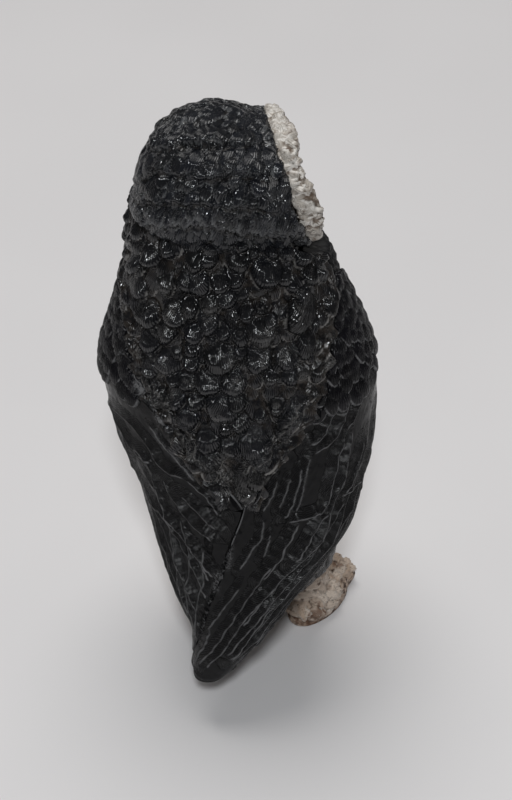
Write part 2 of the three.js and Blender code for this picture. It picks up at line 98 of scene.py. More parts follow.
_fit = [(9, -0.1, 1.2), (13, -0.6, 1.0), (18, -1.3, 0.9), (25, -0.95, 0.95), (30, -0.5, 0.5), (35, 0, 0)]
ENVELOPE = [(zq, float(_e(zq)[0]) + da, float(_e(zq)[1]), float(_e(zq)[2])) for zq, da, dx in _fit] + [q for q in ENVELOPE if q[0] > 36]
SPINE = [(zq, float(_s(zq)[0]) + dx) for zq, da, dx in _fit] + [q for q in SPINE if q[0] > 36]
TAIL = [(9, 2.6, 28.85, 26.2), (11, 3.7, 28.6, 24.6), (13, 4.0, 27.0, 23.0), (16, 5.0, 25.8, 20.8), (20, 6.6, 24.4, 18.8),
        (25, 8.4, 22.0, 17.2), (30, 8.8, 20.4, 16.2), (34, 8.2, 19.2, 15.4), (37, 6.8, 18.2, 15.2)]
envF, spF, bodyF = pchip(ENVELOPE), pchip(SPINE), pchip(BODY)
rdF, rvF, ldF, lvF, thF, tailF = (pchip(t) for t in (RIGHT_DORSAL, RIGHT_VENTRAL, LEFT_DORSAL, LEFT_VENTRAL, WING_THICK, TAIL))


def env(th, z, off=0.0):
    th, z = np.broadcast_arrays(np.asarray(th, float), np.asarray(z, float))
    e = envF(z)
    a, yb, yf = e[..., 0], e[..., 1], e[..., 2]
    x0 = spF(z)[..., 0]
    ym, d = (yb + yf) / 2, (yb - yf) / 2
    c, s = np.cos(np.radians(th)), np.sin(np.radians(th))
    nx, ny = c / a, s / d
    l = np.hypot(nx, ny)
    return np.stack([x0 + a * c - nx / l * off, ym + d * s - ny / l * off, z], -1)


# ------------------------------------------------------------------ meshes
def grid_normals(P, ring=False):
    if ring:
        du = np.roll(P, -1, 1) - np.roll(P, 1, 1)
    else:
        du = np.gradient(P, axis=1)
    dv = np.gradient(P, axis=0)
    N = np.cross(du, dv)
    l = np.linalg.norm(N, axis=-1, keepdims=True)
    return N / np.maximum(l, 1e-9)


def wob(V, scale, seed, n=7):
    """smooth repeatable noise in -1..1"""
    r = np.random.default_rng(seed)
    out = np.zeros(len(V))
    for i in range(n):
        k = r.normal(size=3)
        k /= np.linalg.norm(k)
        f = (0.6 + 0.9 * r.random()) / scale * 2 * math.pi
        out += np.sin(V @ k * f + r.random() * 6.28 + 1.3 * np.sin(V @ np.roll(k, 1) * f * 0.6 + r.random() * 6.28))
    return out / n * 1.6


class Relief:
    """height over a base surface, built up from overlapping feathers"""

    def __init__(s, V, N):
        s.V, s.N = np.ascontiguousarray(V.reshape(-1, 3)), np.ascontiguousarray(N.reshape(-1, 3))
        n = len(s.V)
        s.H, s.edge, s.phase, s.tone, s.frost = (np.zeros(n) for _ in range(5))
        s.zo = np.argsort(s.V[:, 2], kind="stable")
        s.zs = s.V[s.zo, 2]

    def slab(s, z, r):
        return s.zo[np.searchsorted(s.zs, z - r):np.searchsorted(s.zs, z + r)]

    def near(s, p):
        for r in (0.6, 2.0, 8.0, 200.0):
            I = s.slab(p[2], r)
            if len(I):
                d = ((s.V[I] - p) ** 2).sum(1)
                k = int(np.argmin(d))
                if d[k] < r * r or r > 100:
                    return int(I[k])

    def feather(s, tip, t, L, W, h, fan=0.5, rim=0.32, kind=0, barb=0.05, pitch=0.75, root=0.12, frost=0.0, sharp=0.55, dome=0.7, n=None, rachis=0.0):
        if n is None:
            n = s.N[s.near(tip)]
        t = t - n * (t @ n)
        t = t / np.linalg.norm(t)
        b = np.cross(n, t)
        base = tip - t * L
        mid = tip - t * L * 0.5
        R = 0.62 * math.hypot(L, W) + 0.2
        I = s.slab(mid[2], R)
        D = s.V[I] - mid
        I = I[(D * D).sum(1) < R * R]
        if not len(I):
            return
        D = s.V[I] - base
        a = D @ t / L
        c = D @ b
        if kind == 0:      # rounded scale
            f = np.where(a > 0.42, np.sqrt(np.clip(1 - ((a - 0.42) / 0.58) ** 2, 0, 1)), 1 - 0.3 * ((0.42 - a) / 0.42) ** 2)
        elif kind == 1:    # lance
            f = np.sqrt(np.clip(1 - np.clip(a, 0, 1) ** 3.2, 0, 1)) * (0.75 + 0.25 * smooth(0, 0.4, a))
        else:              # square-ended
            f = np.sqrt(np.clip(1 - np.clip(a, 0, 1) ** 9, 0, 1))
        w = np.maximum(W / 2 * f, 1e-4)
        ins = (a > -0.1) & (a < 1) & (np.abs(c) < w) & (s.N[I] @ n > 0.1)
        I, a, c, w = I[ins], a[ins], c[ins], w[ins]
        if not len(I):
            return
        e = np.minimum(w - np.abs(c), (1 - a) * L)
        x = np.clip(e / rim, 0, 1)
        r = 1 - (1 - x) ** 2
        ph = np.arctan2(c, (a + fan) * L) * (1 + fan) * L if fan > 0 else a * L - np.abs(c) * 1.3
        tipr = np.sqrt(np.clip(1 - (np.clip(a - 0.62, 0, 1) / 0.38) ** 2, 0, 1))
        body = (1 - dome) + dome * np.sqrt(np.clip(1 - (c / w) ** 2, 0, 1)) * tipr
        hh = h * (root + (1 - root) * smooth(0, 0.7, a)) * body * (sharp + (1 - sharp) * r) * np.clip(x * 6, 0, 1)
        hh = hh + barb * np.sin(ph / pitch * 2 * math.pi) * smooth(0.0, 0.35, a) * x
        hh = hh * (1 + 0.22 * max(-1.6, min(1.6, rng.normal())) * c / w)
        if rachis:
            hh = hh + rachis * np.exp(-(c / 0.16) ** 2) * smooth(1, 0.8, a)
        up = hh > s.H[I]
        I, e, a, hh, ph = I[up], e[up], a[up], hh[up], ph[up]
        s.H[I] = hh
        s.edge[I] = np.exp(-(e / 0.3) ** 2) * smooth(0.35, 0.85, a)
        s.phase[I] = ph
        s.tone[I] = 0.25 + 0.5 * rng.random()
        s.frost[I] = frost * smooth(0.3, 0.8, a)

    def ridge(s, path, h, D, side=1, line=0.2, wfrost=0.0, bead=0.0, fade=1.5, lip=0.0, wfr=0.6, bright=0.9, knot=0.12):
        """a feather's edge along a line: raised on one side of it, dropping sharply on the other"""
        path = np.asarray(path, float).copy()
        if knot and len(path) > 6:
            q = rng.normal(size=path.shape) * knot
            q = (q + np.roll(q, 1, 0)) * 0.6
            q[0] = q[-1] = 0
            path += q
        seg = np.diff(path, axis=0)
        ln = np.linalg.norm(seg, axis=1)
        cum = np.concatenate([[0], np.cumsum(ln)])
        lo, hi = path.min(0) - D - 0.3, path.max(0) + D + 0.3
        I = np.nonzero(((s.V > lo) & (s.V < hi)).all(1))[0]
        if not len(I):
            return
        V, N = s.V[I], s.N[I]
        best = np.full(len(I), 1e9)
        al, sd = np.zeros(len(I)), np.zeros(len(I))
        for k in range(len(seg)):
            d = V - path[k]
            u = np.clip(d @ seg[k] / ln[k] ** 2, 0, 1)
            q = d - u[:, None] * seg[k]
            q2 = np.maximum((q * q).sum(1) - (q * N).sum(1) ** 2, 0)
            m = q2 < best
            best[m] = q2[m]
            al[m] = cum[k] + u[m] * ln[k]
            sd[m] = (np.cross(seg[k] / ln[k], q[m]) * N[m]).sum(1)
        dist = np.sqrt(best)
        tot = cum[-1]
        endf = smooth(0, fade, al) * smooth(0, fade, tot - al)
        on = (np.sign(sd) == side)
        up = h * np.clip(1 - dist / D, 0, 1) ** 1.3
        rnd = 1 - (1 - np.clip(dist / 0.35, 0, 1)) ** 2
        H = np.where(on, up * (0.55 + 0.45 * rnd), h * 0.55 * np.clip(1 - dist / 0.16, 0, 1)) * endf
        if lip:
            H = H + lip * np.exp(-(np.where(on, dist - 0.2, dist + 0.1) / 0.2) ** 2) * endf
        if bead:
            H = H + bead * np.exp(-(dist / 0.5) ** 2) * endf * (0.5 + 0.5 * np.sin(al * 7.3 + 3 * np.sin(al * 2.1)))
        s.H[I] += H
        g = np.exp(-((dist - 0.04) / line) ** 2) * np.minimum(endf * 2, 1) * (0.84 + 0.16 * np.sin(al * 2.7 + 2 * np.sin(al * 0.9)))
        s.edge[I] = np.maximum(s.edge[I], g * bright)
        s.frost[I] = np.maximum(s.frost[I], np.exp(-(dist / wfr) ** 2) * endf * wfrost)
        near = on & (dist < D)
        s.phase[I[near]] = (al - dist * 1.5)[near]

    def out(s, extra=None):
        H = s.H if extra is None else s.H + extra
        return s.V + s.N * H[:, None]


def finish_mesh(name, V, faces, attrs, mat, node, smooth_angle=None):
    me = bpy.data.meshes.new(name)
    V = to_m(V)
    if isinstance(faces, np.ndarray):
        nf, k = faces.shape
        me.vertices.add(len(V))
        me.vertices.foreach_set("co", V.astype(np.float32).ravel())
        me.loops.add(nf * k)
        me.loops.foreach_set("vertex_index", faces.astype(np.int32).ravel())
        me.polygons.add(nf)
        me.polygons.foreach_set("loop_start", np.arange(0, nf * k, k, dtype=np.int32))
        me.update(calc_edges=True)
    else:
        me.from_pydata([tuple(v) for v in V], [], faces)
    me.validate()
    for k, v in attrs.items():
        at = me.attributes.new(k, "FLOAT", "POINT")
        buf = np.zeros(len(V), np.float32)
        buf[:len(v)] = v
        at.data.foreach_set("value", buf)
    me.polygons.foreach_set("use_smooth", np.ones(len(me.polygons), bool))
    me.update()
    o = bpy.data.objects.new(name, me)
    bpy.context.scene.collection.objects.link(o)
    o.data.materials.append(mat)
    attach(o, "root")
    if node:
        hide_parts(*([node] if isinstance(node, str) else node))
    return o


def quads(m, n, ring=False, off=0):
    i, j = np.meshgrid(np.arange(m - 1), np.arange(n if ring else n - 1), indexing="ij")
    a = i * n + j
    b = i * n + (j + 1) % n
    return (np.stack([a, b, b + n, a + n], -1).reshape(-1, 4) + off)


def dloft_mesh(name, P, wall_pts, attrs, mat, node):
    """rows of arcs closed by a flat wall behind them and capped: P is rows x cols"""
    m, n = P.shape[:2]
    V = [P.reshape(-1, 3)]
    f = [list(map(int, q)) for q in quads(m, n)]
    base = m * n
    for i in range(m - 1):                       # flat back wall strip by strip
        f.append([i * n + n - 1, i * n, (i + 1) * n, (i + 1) * n + n - 1])
    c0, c1 = P[0].mean(0), P[-1].mean(0)
    V.append(np.array([c0, c1]))
    for j in range(n - 1):
        f.append([j + 1, j, base])
        f.append([(m - 1) * n + j, (m - 1) * n + j + 1, base + 1])
    f.append([0, n - 1, base])
    f.append([(m - 1) * n + n - 1, (m - 1) * n, base + 1])
    return finish_mesh(name, np.concatenate(V), f, attrs, mat, node)


def sheet_mesh(name, P, Q, step, attrs, mat, node):
    """outer sheet P (rows x cols) and inner sheet Q given on every step-th column, closed round the edge"""
    m, n = P.shape[:2]
    k = Q.shape[1]
    V = np.concatenate([P.reshape(-1, 3), Q.reshape(-1, 3)])
    B = m * n
    f = [list(map(int, q)) for q in quads(m, n)]
    for i in range(m - 1):
        for j in range(k - 1):
            a = B + i * k + j
            f.append([a, a + k, a + k + 1, a + 1])
        f.append([i * n, (i + 1) * n, B + (i + 1) * k, B + i * k])
        f.append([(i + 1) * n + n - 1, i * n + n - 1, B + i * k + k - 1, B + (i + 1) * k + k - 1])
    for j in range(k - 1):
        lo = list(range(j * step, min((j + 1) * step, n - 1) + 1))
        f.append(lo[::-1] + [B + j, B + j + 1])
        hi = [(m - 1) * n + q for q in lo]
        f.append(hi + [B + (m - 1) * k + j + 1, B + (m - 1) * k + j])
    return finish_mesh(name, V, f, attrs, mat, node)


# ------------------------------------------------------------------ materials
def M(name):
    mat = bpy.data.materials.new(name)
    mat.use_nodes = True
    nt = mat.node_tree
    for nd in list(nt.nodes):
        nt.nodes.remove(nd)
    out = nt.nodes.new("ShaderNodeOutputMaterial")
    bs = nt.nodes.new("ShaderNodeBsdfPrincipled")
    nt.links.new(bs.outputs[0], out.inputs[0])
    return mat, nt, bs


class NB:
    def __init__(s, nt):
        s.nt = nt

    def new(s, kind, **kw):
        n = s.nt.nodes.new(kind)
        for k, v in kw.items():
            setattr(n, k, v)
        return n

    def put(s, sock, v):
        if isinstance(v, bpy.types.NodeSocket):
            s.nt.links.new(v, sock)
        elif isinstance(v, (tuple, list)):
            sock.default_value = (*v, 1.0) if len(v) == 3 and len(sock.default_value) == 4 else v
        else:
            sock.default_value = v

    def math(s, op, a, b=0.0, c=None, clamp=False):
        n = s.new("ShaderNodeMath", operation=op, use_clamp=clamp)
        s.put(n.inputs[0], a)
        s.put(n.inputs[1], b)
        if c is not None:
            s.put(n.inputs[2], c)
        return n.outputs[0]

    def mix(s, f, a, b):
        n = s.new("ShaderNodeMix", data_type="RGBA")
        s.put(n.inputs[0], f)
        s.put(n.inputs[6], a)
        s.put(n.inputs[7], b)
        return n.outputs[2]

    def attr(s, name):
        n = s.new("ShaderNodeAttribute", attribute_name=name)
        return n.outputs["Fac"]

    def noise(s, scale, detail=3.0, rough=0.55, vec=None, dist=0.0):
        n = s.new("ShaderNodeTexNoise")
        s.put(n.inputs["Scale"], scale)
        s.put(n.inputs["Detail"], detail)
        s.put(n.inputs["Roughness"], rough)
        s.put(n.inputs["Distortion"], dist)
        s.put(n.inputs["Vector"], vec if vec is not None else s.obj())
        return n.outputs["Fac"]

    def obj(s):
        if not hasattr(s, "_o"):
            s._o = s.new("ShaderNodeTexCoord").outputs["Object"]
        return s._o

    def ramp(s, v, lo, hi, a=0.0, b=1.0):
        n = s.new("ShaderNodeMapRange", interpolation_type="SMOOTHSTEP")
        for k, x in zip(("Value", "From Min", "From Max", "To Min", "To Max"), (v, lo, hi, a, b)):
            s.put(n.inputs[k], x)
        return n.outputs[0]

    def bump(s, h, dist, strength=1.0, nrm=None):
        n = s.new("ShaderNodeBump")
        s.put(n.inputs["Strength"], strength)
        s.put(n.inputs["Distance"], dist)
        s.put(n.inputs["Height"], h)
        if nrm is not None:
            s.put(n.inputs["Normal"], nrm)
        return n.outputs[0]


def plumage(name, base, cool, dust_and_shade_col, frost, edge_amt, rough, spec, pitch=0.00042, barb=0.00004, dust_and_shade_amt=0.8, speck=None, coat=0.0, dark=False):
    """painted, dry-brushed feather relief: attributes edge, rec, phase, tone, frost; the recess colour also paints
    shade on the face and feet, and the frosting colour also paints a highlight on the top of the face rim
    """
    mat, nt, bs = M(name)
    b = NB(nt)
    recess_and_shade, edge, tone, fr = b.attr("recess_and_shade"), b.attr("edge"), b.attr("tone"), b.attr("frost")
    big = b.noise(160.0, 3, 0.6)
    grain = b.noise(3600.0, 2, 0.7)
    mid = b.noise(900.0, 3, 0.6)
    col = b.mix(b.ramp(b.math("ADD", b.math("MULTIPLY", tone, 0.6), b.math("MULTIPLY", big, 0.6)), 0.35, 0.85), base, cool)
    # recess colour: brown dusting in the hollows, and painted shade on the lower face rim and the lower foot
    dust_and_shade_mask = b.math("MULTIPLY", b.math("MULTIPLY", b.ramp(recess_and_shade, 0.35, 0.95), b.ramp(mid, 0.38, 0.62)), dust_and_shade_amt)
    col = b.mix(dust_and_shade_mask, col, dust_and_shade_col)
    if speck:
        col = b.mix(b.math("MULTIPLY", b.ramp(b.noise(speck[1], 3, 0.65), 0.52, 0.66), speck[2]), col, speck[0])
    ph = b.math("SINE", b.math("MULTIPLY", b.attr("phase"), 2 * math.pi / (pitch * 1000)))
    barbs = b.ramp(ph, 0.2, 1.0)
    # frosting catches the raised edges, the barb crests and the grain of the brush; on the face it also lays a painted
    # highlight on the top of the rim
    f1 = b.math("MULTIPLY", b.ramp(edge, 0.12, 0.62), b.ramp(grain, 0.30, 0.55, 0.7, 1.0))
    f2 = b.math("MULTIPLY", b.math("MULTIPLY", barbs, b.ramp(recess_and_shade, 0.55, 0.0)), b.math("MULTIPLY", b.ramp(mid, 0.5, 0.75), 0.28))
    f3 = b.math("MULTIPLY", fr, b.ramp(grain, 0.42, 0.60))
    f = b.math("MULTIPLY", b.math("MAXIMUM", b.math("MAXIMUM", f1, f2), f3), edge_amt, clamp=True)
    col = b.mix(f, col, frost)
    if dark:
        dk = b.attr("dark")
        col = b.mix(b.math("MULTIPLY", b.math("MULTIPLY", b.ramp(recess_and_shade, 0.55, 0.05), b.ramp(big, 0.45, 0.6)), 0.16), col, (0.085, 0.06, 0.045))
        col = b.mix(b.ramp(b.math("ADD", dk, b.math("MULTIPLY", b.math("SUBTRACT", mid, 0.5), 0.5)), 0.4, 0.6), col, b.mix(b.math("MULTIPLY", f1, 0.6), (0.006, 0.006, 0.007), (0.2, 0.195, 0.19)))
    b.put(bs.inputs["Base Color"], col)
    rg = b.math("ADD", b.math("MULTIPLY", b.math("SUBTRACT", mid, 0.5), 0.22), rough)
    rg = b.math("ADD", rg, b.math("MULTIPLY", b.math("ADD", f, b.math("MULTIPLY", dust_and_shade_mask, 0.8)), 0.25), clamp=True)
    b.put(bs.inputs["Roughness"], rg)
    bs.inputs["Specular IOR Level"].default_value = spec
    bs.inputs["Coat Weight"].default_value = coat
    bs.inputs["Coat Roughness"].default_value = 0.3
    n1 = b.bump(ph, barb, 0.8)
    n2 = b.bump(grain, 0.000015, 0.5, n1)
    n3 = b.bump(mid, 0.00003, 0.5, n2)
    b.put(bs.inputs["Normal"], n3)
    return mat


BLACK = plumage("black_plumage", (0.0035, 0.0035, 0.0042), (0.0068, 0.0072, 0.0095), (0.034, 0.025, 0.018), (0.24, 0.23, 0.22),
                0.75, 0.15, 0.5, dust_and_shade_amt=0.6)
WINGM = plumage("wing_plumage", (0.0026, 0.0025, 0.0030), (0.0045, 0.0042, 0.0062), (0.014, 0.011, 0.009), (0.20, 0.20, 0.205),
                0.85, 0.24, 0.2, pitch=0.0005, barb=0.00005)
HOODM = plumage("hood_plumage", (0.0035, 0.0038, 0.0050), (0.0075, 0.0088, 0.013), (0.014, 0.011, 0.009), (0.20, 0.205, 0.21),
                0.4, 0.15, 0.56, pitch=0.0004)
PALE = plumage("pale_plumage", (0.50, 0.455, 0.40), (0.60, 0.56, 0.50), (0.20, 0.135, 0.09), (0.70, 0.67, 0.62), 0.7, 0.45, 0.3,
               dust_and_shade_amt=0.8, speck=((0.30, 0.22, 0.155), 420.0, 0.3), dark=True)
FACEM = plumage("face_paint", (0.40, 0.36, 0.315), (0.50, 0.47, 0.43), (0.085, 0.055, 0.037), (0.74, 0.71, 0.67), 0.8, 0.45, 0.35,
                dust_and_shade_amt=1.0, speck=((0.13, 0.085, 0.055), 330.0, 0.7))
FOOTM = plumage("foot_paint", (0.44, 0.33, 0.25), (0.66, 0.57, 0.49), (0.05, 0.024, 0.013), (0.66, 0.60, 0.54), 0.75, 0.45, 0.35,
                dust_and_shade_amt=1.0, speck=((0.15, 0.075, 0.042), 230.0, 0.75))


def glossy(name, a, c, rough, scale, coat=0.0):
    mat, nt, bs = M(name)
    b = NB(nt)
    n = b.noise(scale, 3, 0.6)
    b.put(bs.inputs["Base Color"], b.mix(b.ramp(n, 0.35, 0.65), a, c))
    b.put(bs.inputs["Roughness"], b.math("ADD", b.math("MULTIPLY", n, 0.12), rough))
    bs.inputs["Coat Weight"].default_value = coat
    bs.inputs["Coat Roughness"].default_value = 0.08
    b.put(bs.inputs["Normal"], b.bump(b.noise(scale * 5, 2), 0.00003, 0.4))
    return mat


HORN = glossy("horn", (0.13, 0.095, 0.06), (0.24, 0.19, 0.13), 0.30, 700.0, 0.3)
EYEM = glossy("eye_gloss", (0.004, 0.004, 0.005), (0.016, 0.010, 0.007), 0.05, 300.0, 0.8)
CLAW = glossy("claw", (0.02, 0.018, 0.016), (0.06, 0.05, 0.042), 0.28, 800.0, 0.3)


def rec_of(R, k=0.55):
    ref = max(1e-6, np.percentile(R.H, 90))
    return np.clip(1 - R.H / (k * ref), 0, 1)


def attrs_of(R, k=0.55):
    return dict(edge=R.edge, recess_and_shade=rec_of(R, k), phase=R.phase, tone=R.tone, frost=R.frost)


# ------------------------------------------------------------------ traced layout, as (angle, height) on the envelope
LUMPS = [(101,84.3,2.6,3.6),(119,82.8,2.3,2.8),(140,81.1,2.3,2.8),(130,82.1,1.9,2.8),(80,80.8,3.2,3.6),(90,81.6,2.6,3.2),(107,81.0,3.2,3.6),(87,77.7,3.5,4.0),(76,77.5,3.2,4.0),(96,78.0,2.9,3.6),(64,76.2,3.2,4.0),(121,78.2,4.2,4.4),(131,77.9,2.6,3.2),(136,76.5,2.3,2.8),(105,78.8,2.6,3.2),(101,76.0,2.9,3.6),(88,74.7,3.2,3.6),(68,71.9,3.9,4.4),(55,70.3,3.2,4.0),(78,73.6,2.9,3.6),(90,71.9,3.5,4.0),(94,70.8,2.6,3.2),(107,73.9,2.3,2.8),(114,74.6,1.9,2.4),(112,69.5,4.2,5.2),(127,71.0,4.8,5.6),(152,71.9,2.9,3.6),(142,69.6,2.6,4.0),(129,66.5,2.9,4.8),(102,70.0,2.6,3.2),(78,69.8,2.9,3.6),(63,68.8,3.5,4.0),(54,65.9,3.2,4.0),(64,63.9,3.5,4.0),(76,67.7,2.6,3.2),(90,65.5,4.5,4.8),(79,65.5,2.6,3.2),(106,65.7,3.9,4.0),(98,64.5,2.3,2.8),(42,60.4,2.9,4.4),(58,62.4,3.9,4.4),(70,62.1,2.9,3.6),(76,61.9,3.2,3.6),(84,61.9,4.2,4.4),(95,62.1,3.5,3.6),(120,65.5,2.6,3.6),(111,63.2,2.3,3.2),(121,62.9,2.6,3.6),(50,55.5,3.5,4.4),(88,57.6,5.5,5.6),(74,55.2,3.5,4.8),(98,55.8,3.2,3.6),(106,57.6,1.9,2.4),(64,51.9,2.6,3.6),(84,52.4,3.9,4.0),(84,49.1,4.2,4.0),(78,50.7,2.3,2.8),(96,44.0,4.5,6.9),(106,49.9,4.5,6.5),(115,55.3,3.5,5.6),(78,42.2,3.9,4.8),(96,37.6,3.5,5.6),(104,40.6,2.3,4.0),(46,73.9,3.2,4.0),(36,67.8,2.6,4.0),(48,70.0,2.9,4.0),(34,63.1,2.6,4.0),(53,79.8,3.2,3.6),(66,82.1,2.9,3.2),(34,76.7,2.9,4.0),(140,74.1,2.6,3.2),(148,76.4,2.9,3.6),(146,79.7,2.9,3.6),(160,75.6,2.6,3.6),(97,59.4,2.9,3.2),(112,58.5,2.6,3.6),(90,55.2,2.6,3.2),(92,51.6,2.9,3.6),(63,58.0,2.9,3.6),(70,58.5,2.6,3.2),(79,59.1,2.6,3.2),(98,68.0,2.3,2.8),(120,72.3,2.3,2.8),(89,83.3,2.6,2.8),(112,83.9,2.3,2.8)]
LEFT_LINES = [
    [(15, 52.9), (23, 51.4), (34, 50.4), (38, 48.3), (43, 47.6), (48, 47.3), (54, 47.8)],
    [(16, 52.2), (38, 53.5), (47, 52.9), (54, 50.1), (58, 47.9), (63, 47.1), (71, 47.1)],
    [(40, 48.4), (49, 48.6), (50, 45.8), (48, 42.9), (46, 40.4), (50, 39.1)],
    [(32, 42.5), (32, 39.7), (37, 38.3), (45, 38.1), (50, 37.6), (56, 36.3), (62, 34.6), (68, 32.7), (74, 31.2), (77, 30.0)],
    [(56, 45.6), (58, 43.2), (60, 41.2), (64, 39.2), (72, 37.8), (78, 36.8)],
    [(64, 43.8), (70, 42.2), (75, 40.6), (81, 38.7)],
    [(34, 39.4), (38, 37.1), (42, 35.0), (44, 32.3), (48, 29.4), (51, 26.6), (55, 24.4), (56, 22.5)],
    [(42, 38.7), (49, 36.9), (54, 34.8), (60, 32.3), (64, 29.7), (68, 27.2), (70, 25.6)],
    [(29, 35.8), (33, 33.3), (37, 30.7), (37, 27.4), (40, 24.9), (44, 22.3), (48, 20.7)],
    [(24, 30.7), (26, 28.2), (28, 25.4), (34, 23.1), (38, 20.8), (42, 18.7)],
    [(23, 51.4), (32, 50.2), (35, 47.5), (24, 42.4), (19, 38.6)],
    [(59, 35.6), (65, 33.6), (70, 31.5), (74, 29.0)],
    [(70, 47.0), (76, 45.8), (81, 43.7), (84, 41.5)]]
RIGHT_LINES = [
    [(144, 59.8), (140, 57.8), (136, 55.0), (132, 53.2), (126, 52.9)],
    [(150, 58.8), (145, 55.5), (144, 53.9), (140, 52.7), (134, 51.7), (128, 51.1)],
    [(147, 51.7), (143, 49.8), (140, 46.6), (140, 43.3), (138, 41.0), (133, 40.7), (123, 40.6), (115, 40.6)],
    [(158, 57.8), (154, 55.0), (150, 53.4), (146, 53.4)],
    [(152, 52.7), (150, 49.6), (148, 46.5), (148, 43.2), (143, 42.9)],
    [(162, 49.4), (158, 45.8), (156, 42.7), (150, 41.9)],
    [(178, 46.5), (177, 42.7), (168, 41.7), (156, 41.5), (147, 42.0)],
    [(178, 40.1), (162, 38.6), (156, 36.4), (148, 34.1), (144, 31.2), (138, 29.2), (136, 25.8), (129, 24.1), (126, 21.3), (122, 18.2), (121, 16.2), (120, 14.3)],
    [(152, 40.9), (146, 38.4), (139, 35.9), (133, 34.0), (130, 33.0), (123, 31.2), (120, 28.6), (115, 25.9), (112, 23.6), (107, 21.3)],
    [(140, 40.6), (134, 38.4), (130, 36.3), (128, 34.8), (124, 32.8)],
    [(123, 40.4), (120, 38.7), (117, 36.8), (114, 34.3), (111, 32.0), (108, 30.2)],
    [(156, 23.5), (164, 20.5), (164, 17.4), (144, 16.4)],
    [(158, 64.4), (149, 62.4), (141, 60.9), (135, 59.6)],
    [(185, 62.2), (166, 61.4), (158, 57.8)],
    [(167, 72.1), (172, 69.3), (169, 66.8), (158, 64.4)],
    [(184, 67.7), (180, 64.1), (176, 60.0), (174, 56.0)],
    [(146, 65.4), (138, 63.4), (132, 61.1), (128, 59.3)]]
FROST_R = [[(112, 48.3), (110, 46.3), (107, 44.2), (104, 42.7)], [(118, 48.4), (115, 45.6), (112, 43.0)],
           [(123, 49.8), (121, 46.1), (118, 42.5), (114, 41.2)], [(128, 51.1), (124, 47.6), (124, 44.5), (120, 42.0)],
           [(104, 41.7), (104, 38.1), (98, 36.3), (94, 34.1), (92, 32.2)], [(108, 39.2), (106, 36.6), (104, 34.5)]]
SCAP_R = [(131, 59.6), (128, 58.1), (124, 56.5), (121, 54.7), (118, 53.2), (113, 51.2), (108, 49.8), (104, 48.6)]
SCAP_R2 = [(159, 73.3), (145, 71.8), (135, 71.0), (126, 70.3), (118, 67.8)]
SCAP_L = [(50, 61.4), (54, 59.6), (58, 59.4), (62, 57.5), (64, 55.7), (67, 54.4), (70, 52.9), (72, 50.9), (76, 49.6), (80, 48.3), (84, 46.1)]

# ------------------------------------------------------------------ back shell with the mantle
EDGE_T = 1.15
_rd0, _ld0 = rdF, ldF


def scal(z, ph):
    z = np.asarray(z, float)
    return ((1.2 * np.sin(z * 1.75 + ph) + 0.7 * np.sin(z * 3.3 + 2 * ph)) * smooth(46, 52, z))[..., None]


def rdF(z):
    return _rd0(z) + scal(z, 0.4)


def ldF(z):
    lo = _ld0(z) + scal(z, 2.1)
    return np.where(np.asarray(z)[..., None] < 43, np.maximum(lo, _rd0(z) + 4.0), lo)


def wing_t(s_edge, z):
    t = thF(z)[..., 0]
    e = EDGE_T * t / 3
    return e + (t - e) * smooth(0, 0.16, s_edge)


def woff(z):
    return 0.12 + 0.43 * smooth(44, 56, z)


def body_pt(th, z, off=None):
    """body surface as in the frame; th in degrees, broadcast with z; off places it under the outer envelope"""
    th, z = np.broadcast_arrays(np.asarray(th, float), np.asarray(z, float))
    bt = bodyF(z)
    a, y0, yb, yf = (bt[..., k] for k in range(4))
    x0 = spF(np.clip(z, 40, 92))[..., 0] * smooth(20, 60, z)
    c, s = np.cos(np.radians(th)), np.sin(np.radians(th))
    P = np.stack([x0 + a * c, y0 + np.where(s >= 0, yb - y0, y0 - yf) * s, z], -1)
    w = smooth(34, 42, z)
    if off is None:
        off = np.full(z.shape, 3.45)
    Q = env(th, z, off)
    e = (smooth(0, 0.25, s) * w * (s > 0))[..., None]
    return P * (1 - e) + Q * e


def socket(P):
    """the shoulders make room for the turned face"""
    d = P - np.array([2.54, -0.28, 88.36 - 2.3])
    a, b = math.radians(71), math.radians(15.8)
    fn = np.array([-math.sin(a) * math.cos(b), -math.cos(a) * math.cos(b), math.sin(b)])
    ft = np.array([math.cos(a), -math.sin(a), 0.0])
    fu = np.cross(ft, fn)
    sv, t, u = d @ fn, d @ ft, d @ fu
    r = np.hypot(t / 12.0, u / 10.9)
    lim = 8.4 + 7.0 * smooth(0.98, 1.35, r) + 40 * smooth(1.25, 1.5, r)
    return P - fn * (np.clip(sv - lim, 0, None) * smooth(70, 74, P[..., 2]))[..., None]


